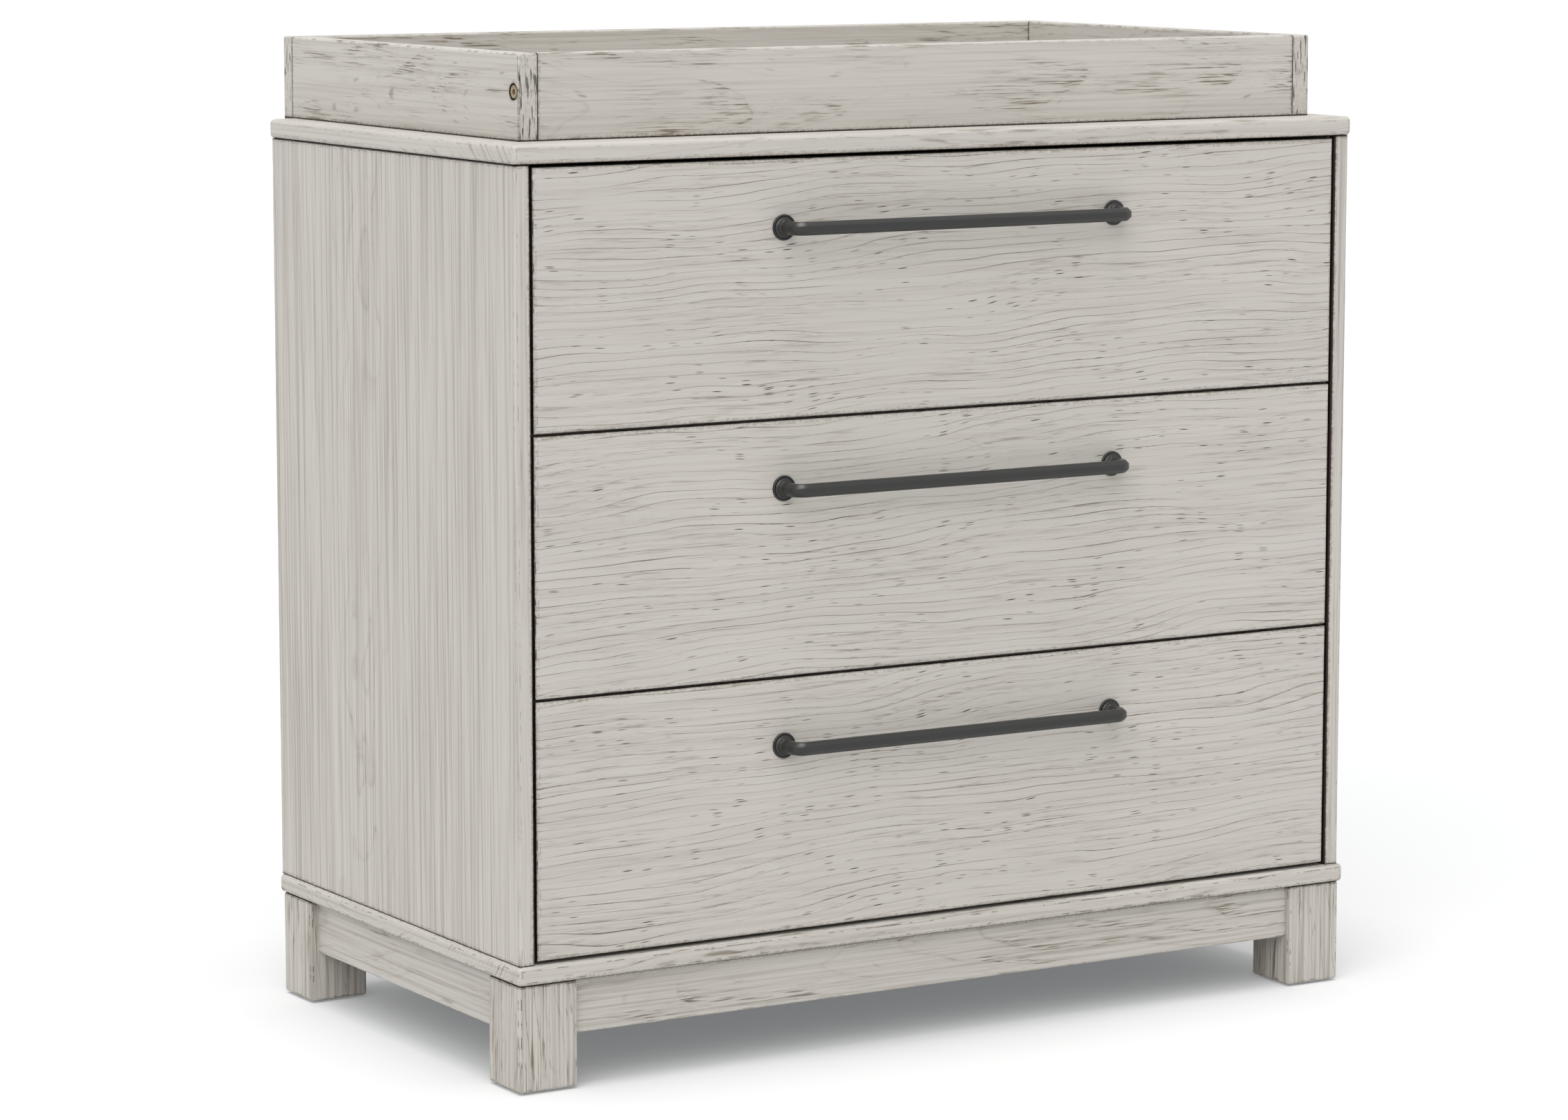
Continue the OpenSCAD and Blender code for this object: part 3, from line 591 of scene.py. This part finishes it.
def soft_octagon(width, softness):
    """Points of an eight-sided section, its corners eased by a share of each flat."""
    steps = 3
    turns = [math.radians(45 * k + 22.5) for k in range(8)]
    reach = width / 2 / math.cos(turns[0])
    corners = [Vector((math.cos(turn), math.sin(turn))) * reach for turn in turns]
    points = []
    for k in range(8):
        corner, before, after = corners[k], corners[k - 1], corners[(k + 1) % 8]
        start = corner + (before - corner) * softness
        finish = corner + (after - corner) * softness
        for s in range(steps + 1):
            t = s / steps
            points.append(start * (1 - t) ** 2 + corner * 2 * t * (1 - t) + finish * t ** 2)
    return points


# ---- Settings ----

class TableWood(bpy.types.PropertyGroup):
    """Finish of the whitewashed boards."""
    paint: bpy.props.FloatVectorProperty(
        name="Paint", description="Colour of the whitewash", subtype="COLOR", min=0, max=1,
        default=linear("#C5C1BA"))
    grain: bpy.props.FloatVectorProperty(
        name="Grain", description="Colour of the grain that shows through the paint", subtype="COLOR",
        min=0, max=1, default=linear("#766A5A"))
    # This colour is the glaze in pores and specks, and also the painted shade in seams and gaps.
    glaze_and_shade: bpy.props.FloatVectorProperty(
        name="Glaze", description="Colour of the dark glaze in seams and pores", subtype="COLOR",
        min=0, max=1, default=linear("#22130C"))
    roughness: bpy.props.FloatProperty(
        name="Roughness", description="Dullness of the lacquer", min=0, max=1, default=0.55)
    grain_depth: bpy.props.FloatProperty(
        name="Grain depth", description="Depth of the brushed grain", subtype="DISTANCE", unit="LENGTH",
        default=0.0003)


class TableMetal(bpy.types.PropertyGroup):
    """Finish and section of the metal pieces."""
    coat: bpy.props.FloatVectorProperty(
        name="Powder coat", description="Colour of the handles", subtype="COLOR", min=0, max=1,
        default=linear("#232423"))
    rubbed: bpy.props.FloatVectorProperty(
        name="Rubbed coat", description="Colour where the coat is thin", subtype="COLOR", min=0, max=1,
        default=linear("#33261E"))
    brass: bpy.props.FloatVectorProperty(
        name="Brass plate", description="Colour of the tray's bolt heads", subtype="COLOR", min=0, max=1,
        default=linear("#A89A7C"))
    brass_stain: bpy.props.FloatVectorProperty(
        name="Brass stain", description="Colour of the stained plate", subtype="COLOR", min=0, max=1,
        default=linear("#5E4F38"))
    zinc: bpy.props.FloatVectorProperty(
        name="Zinc plate", description="Colour of slides and screws", subtype="COLOR", min=0, max=1,
        default=linear("#C3C6C9"))
    bar_width: bpy.props.FloatProperty(
        name="Bar width", description="Width of a handle's bar across its flats", subtype="DISTANCE",
        unit="LENGTH", default=0.012)
    bend_radius: bpy.props.FloatProperty(
        name="Bend radius", description="Radius of the middle of a handle's bends", subtype="DISTANCE",
        unit="LENGTH", default=0.009)
    collar_width: bpy.props.FloatProperty(
        name="Collar width", description="Diameter of the collar at the foot of a post",
        subtype="DISTANCE", unit="LENGTH", default=0.016)


class TableInside(bpy.types.PropertyGroup):
    """Finish of the pieces inside and under the case."""
    birch: bpy.props.FloatVectorProperty(
        name="Birch", description="Colour of the drawer boxes", subtype="COLOR", min=0, max=1,
        default=linear("#DCC8A4"))
    birch_grain: bpy.props.FloatVectorProperty(
        name="Birch grain", description="Colour of the birch's grain and dark plies", subtype="COLOR",
        min=0, max=1, default=linear("#B08F62"))
    hardboard: bpy.props.FloatVectorProperty(
        name="Hardboard", description="Colour of the back panel", subtype="COLOR", min=0, max=1,
        default=linear("#A79F93"))
    glide: bpy.props.FloatVectorProperty(
        name="Glides", description="Colour of the leg glides", subtype="COLOR", min=0, max=1,
        default=linear("#4C4842"))


class TableStudio(bpy.types.PropertyGroup):
    """Floor, lights and camera."""
    floor_size: bpy.props.FloatProperty(
        name="Floor size", description="Width of the floor", subtype="DISTANCE", unit="LENGTH",
        default=160.0)
    sky_strength: bpy.props.FloatProperty(
        name="Sky strength", description="Strength of the even light from all round", default=0.55)
    sun_strength: bpy.props.FloatProperty(
        name="Side light", description="Strength of the soft light from the front left", default=1.24)
    top_strength: bpy.props.FloatProperty(
        name="Top light", description="Strength of the soft light from above", default=1.4)
    lens: bpy.props.FloatProperty(
        name="Lens", description="Focal length of the camera", subtype="DISTANCE_CAMERA", default=115.98)


# ---- Operators ----

class TABLE_OT_stage(bpy.types.Operator):
    """Makes the floor, the lights and the camera"""
    bl_idname = "table.stage"
    bl_label = "Studio"

    camera_at = (-2.4907, -4.0863, 1.0930)
    camera_yaw = math.radians(31.005)
    camera_pitch = math.radians(8.040)
    sensor_width = 36.0
    side_spread, side_turn = 50, (50, 0, -44)       # degrees
    top_spread, top_turn = 26, (4, 0, -44)
    floor_lit = (0.80, 0.80, 0.80, 1)       # the floor as it lights the table
    floor_seen = (0.86, 0.86, 0.86, 1)      # the floor as the camera sees it
    glow = (0.95, 0.98, 1.0, 1)
    glow_share = 0.18                       # keeps the shadow as light as a bright studio does

    def execute(self, context):
        studio = context.scene.table_studio
        self.floor(studio.floor_size)
        self.sky(context.scene, studio.sky_strength)
        self.sun(context.scene, "side_sun", studio.sun_strength, self.side_spread, self.side_turn)
        self.sun(context.scene, "top_sun", studio.top_strength, self.top_spread, self.top_turn)
        camera = bpy.data.cameras.new("camera")
        camera.lens = studio.lens
        camera.sensor_width = self.sensor_width
        holder = bpy.data.objects.new("camera", camera)
        holder.location = self.camera_at
        holder.rotation_euler = (math.pi / 2 - self.camera_pitch, 0, -self.camera_yaw)
        context.scene.collection.objects.link(holder)
        context.scene.camera = holder
        context.scene.view_settings.view_transform = "Standard"
        return {"FINISHED"}

    @staticmethod
    def sun(scene, name, strength, spread, turn):
        """A soft light from far away: its spread and its turn are in degrees."""
        light = bpy.data.lights.new(name, "SUN")
        light.energy = strength
        light.angle = math.radians(spread)
        holder = bpy.data.objects.new(name, light)
        holder.rotation_euler = [math.radians(angle) for angle in turn]
        scene.collection.objects.link(holder)

    @staticmethod
    def seen(node):
        """1 where the camera sees a surface, also in a reflection or through glass, or else 0."""
        path = node("LightPath").outputs
        direct = node("Math MAXIMUM", [path["Is Camera Ray"], path["Is Glossy Ray"]])
        return node("Math MAXIMUM", [direct, path["Is Transmission Ray"]])

    def floor(self, size):
        """A floor that is white to the camera and keeps the table's shadow."""
        material, node = new_material("Studio floor")
        seen = self.seen(node)
        colour = node("Mix RGBA", {0: seen, 6: self.floor_lit, 7: self.floor_seen})
        share = node("Math MULTIPLY", [seen, self.glow_share])
        shader = node("MixShader", [share, node("BsdfDiffuse", {"Color": colour}),
                                    node("Emission", {"Color": self.glow, "Strength": 1.0})])
        node("OutputMaterial", {"Surface": shader})
        bm = bmesh.new()
        bmesh.ops.create_grid(bm, x_segments=1, y_segments=1, size=size / 2)
        floor = object_from(bm, "floor", material)
        floor.location.z = cad_box[0].z

    def sky(self, scene, strength):
        """Even light from all round, white where the camera or a reflection sees it."""
        world = bpy.data.worlds.new("sky")
        world.use_nodes = True
        world.node_tree.nodes.clear()
        node = partial(add, world.node_tree)
        level = node("MapRange", [self.seen(node), 0.0, 1.0, strength, 1.0])
        light = node("Background", {"Color": (1, 1, 1, 1), "Strength": level})
        node("OutputWorld", {"Surface": light})
        scene.world = world


class TABLE_OT_top_panel(bpy.types.Operator):
    """Makes the dresser's top panel"""
    bl_idname = "table.top_panel"
    bl_label = "Top panel"

    edge_radius = 4.5 * MM
    glaze_and_shade = 0.5 * MM            # height of the dark line of glaze and painted shade at the foot of the panel

    def execute(self, context):
        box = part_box("top_panel")
        figure = look("X", "Y", "Z", pith=(40.0, -260.0), spacing=7.0, warp=30.0, lines=0.25, streaks=0.45,
                      pores=0.15, brush=0.16, specks=0.3, edge=4.5, wrap=True)
        seams = [[("Z", box[0].z, box[0].z + self.glaze_and_shade)]]
        board("top_panel", "top", figure, seams, self.edge_radius, every_edge, seed=1.0)
        return {"FINISHED"}


class TABLE_OT_case_sides(bpy.types.Operator):
    """Makes the two side panels of the case"""
    bl_idname = "table.case_sides"
    bl_label = "Case sides"

    edge_radius = 3.0 * MM
    glaze_and_shade = 0.6 * MM            # height of the dark lines of glaze and painted shade at head and foot
    gap_shade_band = 8 * MM               # depth of the painted shade on the inner face, in the gap beside the drawers

    def execute(self, context):
        for k, side in enumerate(SIDES):
            node = "side_panel_" + side
            low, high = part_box(node)
            inner_x = high.x if side == "left" else low.x
            figure = look("Z", "Y", "X", pith=(60.0, 300.0), spacing=2.6, warp=8.0, lines=0.16,
                          streaks=0.12, pores=0.03, brush=0.42, specks=0.30, edge=3.4,
                          shift=(0, 0, 400.0 * k))
            # Glaze and painted shade at head and foot, and painted shade on the inner face beside the
            # drawers.
            seams = [[("Z", high.z - self.glaze_and_shade, high.z)], [("Z", low.z, low.z + self.glaze_and_shade)],
                     [("X", inner_x - 1.0 * MM, inner_x + 1.0 * MM), ("Y", low.y, low.y + self.gap_shade_band)]]
            board(node, "side " + side, figure, seams, self.edge_radius, self.front_edge, seed=2.0 + k)
        return {"FINISHED"}

    @staticmethod
    def front_edge(middle, direction):
        return direction == "Z" and middle[1] < 0


class TABLE_OT_base_panel(bpy.types.Operator):
    """Makes the base panel under the case"""
    bl_idname = "table.base_panel"
    bl_label = "Base panel"

    edge_radius = 4.0 * MM
    # height of the dark line of glaze and painted shade at the foot of the panel
    glaze_and_shade = 0.5 * MM

    def execute(self, context):
        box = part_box("base_panel")
        figure = look("X", "Y", "Z", pith=(80.0, 200.0), spacing=6.0, warp=30.0, lines=0.4, streaks=0.6,
                      pores=0.3, brush=0.25, specks=0.6, edge=4.0, wrap=True, shift=(300.0, 0, 0))
        seams = [[("Z", box[0].z, box[0].z + self.glaze_and_shade)]]
        board("base_panel", "base", figure, seams, self.edge_radius, every_edge, seed=5.0)
        return {"FINISHED"}


class TABLE_OT_legs(bpy.types.Operator):
    """Makes the four legs and their glides"""
    bl_idname = "table.legs"
    bl_label = "Legs"

    edge_radius = 3.0 * MM
    # height of the dark line of glaze and painted shade at the top of each leg
    glaze_and_shade = 0.6 * MM

    def execute(self, context):
        for k, place in enumerate(("front_left", "front_right", "back_left", "back_right")):
            node = "leg_" + place
            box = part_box(node)
            figure = look("Z", "X", "Y", pith=(70.0, 95.0), spacing=6.0, warp=14.0, lines=0.35, streaks=0.95,
                          pores=0.35, brush=0.55, specks=0.7, edge=3.0, tilt=0.06,
                          shift=(37.0 * k, 0, 210.0 * k))
            seams = [[("Z", box[1].z - self.glaze_and_shade, box[1].z)]]
            board(node, "leg " + place, figure, seams, self.edge_radius, every_edge, seed=7.0 + k)
        give("leg_glides", nylon())
        return {"FINISHED"}


class TABLE_OT_aprons(bpy.types.Operator):
    """Makes the four aprons between the legs"""
    bl_idname = "table.aprons"
    bl_label = "Aprons"

    edge_radius = 2.0 * MM
    # height of the dark line of glaze and painted shade along the top of each apron
    glaze_and_shade = 0.7 * MM

    def execute(self, context):
        for k, place in enumerate(("front", "back", "left", "right")):
            node = "apron_" + place
            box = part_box(node)
            along, depth = ("X", "Y") if place in ("front", "back") else ("Y", "X")
            figure = look(along, "Z", depth, pith=(12.0, 60.0), spacing=6.5, warp=26.0, lines=0.2,
                          streaks=0.8, pores=0.1, brush=0.38, specks=0.3, edge=2.0, tilt=0.05,
                          shift=(140.0 * k, 90.0 * k, 0))
            seams = [[("Z", box[1].z - self.glaze_and_shade, box[1].z)]]
            board(node, "apron " + place, figure, seams, self.edge_radius, self.lower_edge,
                  seed=12.0 + k)
        return {"FINISHED"}

    @staticmethod
    def lower_edge(middle, direction):
        return middle[2] < 0 and direction != "Z"


class TABLE_OT_tray(bpy.types.Operator):
    """Makes the tray frame and its bolts"""
    bl_idname = "table.tray"
    bl_label = "Tray"

    edge_radius = 2.0 * MM
    counterbore = 14.0 * MM
    sink = 3.5 * MM
    screw_hole = 5.0 * MM       # radius
    glaze_and_shade = 0.7 * MM            # width of the dark line of glaze and painted shade where two boards meet

    def execute(self, context):
        tray_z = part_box("tray_left")[0].z
        bolt_low, bolt_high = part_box("tray_bolts")
        bolt_z = (bolt_low.z + bolt_high.z) / 2
        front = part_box("tray_front")
        front_y = (front[0].y + front[1].y) / 2
        for k, place in enumerate(("front", "back", "left", "right")):
            node = "tray_" + place
            low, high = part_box(node)
            along, depth = ("X", "Y") if place in ("front", "back") else ("Y", "X")
            figure = look(along, "Z", depth, pith=(-8.0, -95.0), spacing=8.5, warp=30.0, lines=0.12,
                          streaks=0.95, pores=0.25, brush=0.22, specks=0.5 if place in SIDES else 0.25,
                          edge=2.0, tilt=0.05, shift=(310.0 * k, 170.0 * k, 0))
            # Glaze and painted shade along the foot of each board; more follows where the boards meet.
            seams = [[("Z", tray_z - 0.5 * MM, tray_z + 0.9 * MM)]]
            ring, holes = None, []
            if place in SIDES:
                seams += [[("Y", high.y - self.glaze_and_shade, high.y + 1 * MM)]]
                outer_x = low.x if place == "left" else high.x
                centre = Vector((outer_x, front_y, bolt_z))
                # Painted shade in the counterbore round each bolt head.
                ring = (centre, "X", self.counterbore / 2 + 0.3 * MM)
                holes = [(centre, "X", self.counterbore / 2, 2 * self.sink)]
            if place == "front":
                seams += [[("X", low.x, low.x + self.glaze_and_shade)], [("X", high.x - self.glaze_and_shade, high.x)]]
            if place == "back":
                side_x = (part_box("tray_right")[0].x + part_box("tray_right")[1].x) / 2
                holes = [(Vector((x, high.y, bolt_z)), "Y", self.counterbore / 2, 2 * self.sink)
                         for x in (-side_x, side_x)]
                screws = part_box("tray_fixing_screws")
                screw_z = (screws[0].z + screws[1].z) / 2
                screw_x = screws[1].x - (screws[1].z - screws[0].z) / 2
                holes += [(Vector((x, high.y, screw_z)), "Y", self.screw_hole, 2 * self.sink)
                          for x in (-screw_x, 0.0, screw_x)]
            board(node, "tray " + place, figure, seams, self.edge_radius, self.free_edge(place),
                  seed=17.0 + k, painted_recess_shade=ring, holes=holes)
        brass = antique_brass()
        give("tray_bolts", brass)
        give("tray_fixing_screws", brass)
        return {"FINISHED"}

    @staticmethod
    def free_edge(place):
        """The edges that no other board meets."""
        def rounded(middle, direction):
            if place == "front":
                return middle[2] > 0 and direction == "X"
            if place == "back":
                return direction != "Z" or middle[1] > 0
            outward = -1 if place == "left" else 1
            top = middle[2] > 0 and direction == "Y"
            front = middle[1] < 0 and direction == "X" and middle[2] > 0
            corner = middle[1] < 0 and direction == "Z" and middle[0] == outward
            return top or front or corner
        return rounded


class TABLE_OT_drawer_fronts(bpy.types.Operator):
    """Makes the three drawer fronts"""
    bl_idname = "table.drawer_fronts"
    bl_label = "Drawer fronts"

    edge_radius = 3.0 * MM
    glaze_and_shade = 0.5 * MM                    # thickness of the band of painted shade on each edge, in the gap round the drawer
    gap_shade_band = (2.4 * MM, 6.0 * MM)         # where the painted shade in the gap starts and ends, from the front

    def execute(self, context):
        for k, level in enumerate(LEVELS):
            node = level + "_drawer_front"
            low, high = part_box(node)
            figure = look("X", "Z", "Y", pith=((-330.0, -460.0, 380.0)[k], 60.0), spacing=8.0, warp=42.0,
                          lines=1.0, streaks=0.42, pores=0.95, brush=0.14, specks=0.3, edge=3.6,
                          slope=-0.03, shift=(530.0 * k, 0, 260.0 * k))
            # Painted shade on the edges of the front, in the gap round the drawer.
            deep = ("Y", low.y + self.gap_shade_band[0], low.y + self.gap_shade_band[1])
            seams = [[("X", low.x, low.x + self.glaze_and_shade), deep], [("X", high.x - self.glaze_and_shade, high.x), deep],
                     [("Z", low.z, low.z + self.glaze_and_shade), deep], [("Z", high.z - self.glaze_and_shade, high.z), deep]]
            board(node, level + " drawer", figure, seams, self.edge_radius, self.front_edge,
                  seed=23.0 + k, body=level + "_drawer")
        return {"FINISHED"}

    @staticmethod
    def front_edge(middle, direction):
        return middle[1] < 0 and direction != "Y"


class TABLE_OT_handles(bpy.types.Operator):
    """Makes the three bar handles with their rosettes"""
    bl_idname = "table.handles"
    bl_label = "Handles"

    # Share of the round collar in a post's section, at a distance in millimetres from its foot.
    foot_shape = ((1.0, 0.0), (1.0, 0.8), (0.8, 1.5), (0.4, 2.3), (0.12, 3.4), (0.0, 5.0))
    bend_steps = 12
    straight_steps = 24         # from the bend to the middle of the bar
    corner_ease = 0.15

    def execute(self, context):
        coat = powder_coated_zinc()
        for level in LEVELS:
            body = level + "_drawer"
            bar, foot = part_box(level + "_handle_bar"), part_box(level + "_handle_rosettes")
            metal = context.scene.table_metal
            posts = (foot[1].x + foot[0].x) / 2, (foot[1].x - foot[0].x) / 2
            spread = posts[1] - (foot[1].z - foot[0].z) / 2
            z = (foot[0].z + foot[1].z) / 2
            bm = self.bar(bar, spread, z, metal)
            piece_from(bm, level + "_handle_bar_cast", coat, body, level + "_handle_bar")
            bm = self.rosettes(foot, spread, z, metal)
            piece_from(bm, level + "_rosettes_turned", coat, body,
                       level + "_handle_rosettes")
        return {"FINISHED"}

    def bar(self, box, spread, z, metal):
        """A bar swept from one foot, round two bends, to the other foot."""
        foot_y = box[1].y
        bar_y = box[0].y + metal.bar_width / 2
        radius = metal.bend_radius
        collar = metal.collar_width / 2
        half = metal.bar_width / 2
        stations = []     # place, direction, share of a round collar in the section, size
        for share, out in self.foot_shape:
            size = half + (collar - half) * share
            stations.append((Vector((-spread, foot_y - out * MM, z)), Vector((0, -1, 0)), share, size))
        turn = Vector((-spread + radius, bar_y + radius, z))
        for k in range(self.bend_steps + 1):
            angle = math.radians(180 + 90 * k / self.bend_steps)
            outward = Vector((math.cos(angle), math.sin(angle), 0))
            stations.append((turn + outward * radius, Vector((-outward.y, outward.x, 0)), 0.0, half))
        for k in range(1, self.straight_steps):
            x = (radius - spread) * (1 - k / self.straight_steps)
            stations.append((Vector((x, bar_y, z)), Vector((1, 0, 0)), 0.0, half))
        middle = [(Vector((0, bar_y, z)), Vector((1, 0, 0)), 0.0, half)]
        mirrored = [(Vector((-p.x, p.y, p.z)), Vector((d.x, -d.y, d.z)), s, r)
                    for p, d, s, r in reversed(stations)]
        section = soft_octagon(2.0, self.corner_ease)
        bm = bmesh.new()
        rings = []
        for place, direction, share, size in stations + middle + mirrored:
            side = direction.cross(Vector((0, 0, 1)))
            ring = []
            for point in section:
                circle = point.normalized()
                shaped = point * (1 - share) + circle * share
                ring.append(bm.verts.new(place + side * shaped.x * size + Vector((0, 0, shaped.y * size))))
            rings.append(ring)
        ring_faces(bm, rings)
        bmesh.ops.recalc_face_normals(bm, faces=bm.faces[:])
        return bm

    @staticmethod
    def rosettes(box, spread, z, metal):
        """Two turned discs: a rounded rim, a shallow groove and a raised middle."""
        face_y = box[1].y
        out = box[1].y - box[0].y
        rim = (box[1].z - box[0].z) / 2
        collar = metal.collar_width / 2
        profile = [(rim - 0.5 * MM, 0.0), (rim, 0.3 * MM), (rim, 1.2 * MM)]
        profile += [(rim - 0.9 * MM * (1 - math.cos(math.radians(a))), 1.2 * MM + 0.9 * MM
                     * math.sin(math.radians(a))) for a in (30, 60, 90)]
        profile += [(rim - 1.7 * MM, 1.9 * MM), (rim - 2.2 * MM, 1.6 * MM), (rim - 2.6 * MM, 1.75 * MM)]
        profile += [(collar + 0.5 * MM, 2.4 * MM), (collar - 0.2 * MM, 3.0 * MM), (collar - 0.8 * MM, out)]
        bm = bmesh.new()
        count = ROSETTE_FACES
        for centre_x in (-spread, spread):
            rings = []
            for radius, height in profile:
                rings.append([bm.verts.new((centre_x + radius * math.cos(2 * math.pi * k / count),
                                            face_y - height,
                                            z + radius * math.sin(2 * math.pi * k / count)))
                              for k in range(count)])
            ring_faces(bm, rings)
        bmesh.ops.recalc_face_normals(bm, faces=bm.faces[:])
        return bm


class TABLE_OT_fittings(bpy.types.Operator):
    """Finishes the slides, ball cages, cams, bolts and screws"""
    bl_idname = "table.fittings"
    bl_label = "Metal fittings"

    def execute(self, context):
        steel = zinc_plated_steel()
        for node in ("cam_nuts", "cam_bolts", "leg_bolts", "back_panel_screws", "tray_barrel_nuts"):
            give(node, steel)
        for level in LEVELS:
            for piece in ("slide_outer", "slide_inner", "ball_cage", "handle_screws"):
                give(level + "_" + piece, steel)
        return {"FINISHED"}


class TABLE_OT_inside(bpy.types.Operator):
    """Finishes the drawer boxes, the cross rails and the back panel"""
    bl_idname = "table.inside"
    bl_label = "Inside pieces"

    def execute(self, context):
        sides = birch_plywood("Birch plywood, drawer sides", "Y", "X")
        backs = birch_plywood("Birch plywood, drawer backs", "X", "Y")
        bottoms = birch_plywood("Birch plywood, drawer bottoms", "X", "Z")
        for level in LEVELS:
            give(level + "_drawer_side_left", sides)
            give(level + "_drawer_side_right", sides)
            give(level + "_drawer_back", backs)
            give(level + "_drawer_bottom", bottoms)
        for k, node in enumerate(("cross_rail_upper", "cross_rail_lower")):
            figure = look("X", "Z", "Y", pith=(-60.0, 90.0), spacing=6.0, warp=20.0, lines=0.3, streaks=0.4,
                          pores=0.2, specks=0.2, edge=1.0, shift=(200.0 * k, 0, 0))
            give(node, whitewashed_wood("Painted rail " + str(k + 1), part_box(node), figure))
        give("back_panel", hardboard())
        return {"FINISHED"}


class TABLE_PT_panel(bpy.types.Panel):
    """Settings and pieces of the changing table"""
    bl_idname = "TABLE_PT_panel"
    bl_label = "Changing table"
    bl_space_type = "VIEW_3D"
    bl_region_type = "UI"
    bl_category = "Changing table"

    def draw(self, context):
        for group in (getattr(context.scene, name) for name in SETTINGS):
            box = self.layout.box()
            for name in group.bl_rna.properties.keys():
                if name not in ("rna_type", "name"):
                    box.prop(group, name)
        for operator in OPERATORS:
            self.layout.operator(operator.bl_idname)


SETTINGS = {"table_wood": TableWood, "table_metal": TableMetal, "table_inside": TableInside,
            "table_studio": TableStudio}
OPERATORS = (TABLE_OT_stage, TABLE_OT_fittings, TABLE_OT_top_panel, TABLE_OT_case_sides,
             TABLE_OT_base_panel, TABLE_OT_legs, TABLE_OT_aprons, TABLE_OT_tray,
             TABLE_OT_drawer_fronts, TABLE_OT_handles, TABLE_OT_inside)


def register():
    for group in SETTINGS.values():
        bpy.utils.register_class(group)
    for name, group in SETTINGS.items():
        setattr(bpy.types.Scene, name, bpy.props.PointerProperty(type=group))
    for operator in OPERATORS:
        bpy.utils.register_class(operator)
    bpy.utils.register_class(TABLE_PT_panel)


def unregister():
    bpy.utils.unregister_class(TABLE_PT_panel)
    for operator in reversed(OPERATORS):
        bpy.utils.unregister_class(operator)
    for name, group in reversed(SETTINGS.items()):
        delattr(bpy.types.Scene, name)
        bpy.utils.unregister_class(group)


def main():
    register()
    bpy.ops.table.stage()
    bpy.ops.table.fittings()
    bpy.ops.table.top_panel()
    bpy.ops.table.case_sides()
    bpy.ops.table.base_panel()
    bpy.ops.table.legs()
    bpy.ops.table.aprons()
    bpy.ops.table.tray()
    bpy.ops.table.drawer_fronts()
    bpy.ops.table.handles()
    bpy.ops.table.inside()


if __name__ == "__main__":
    main()
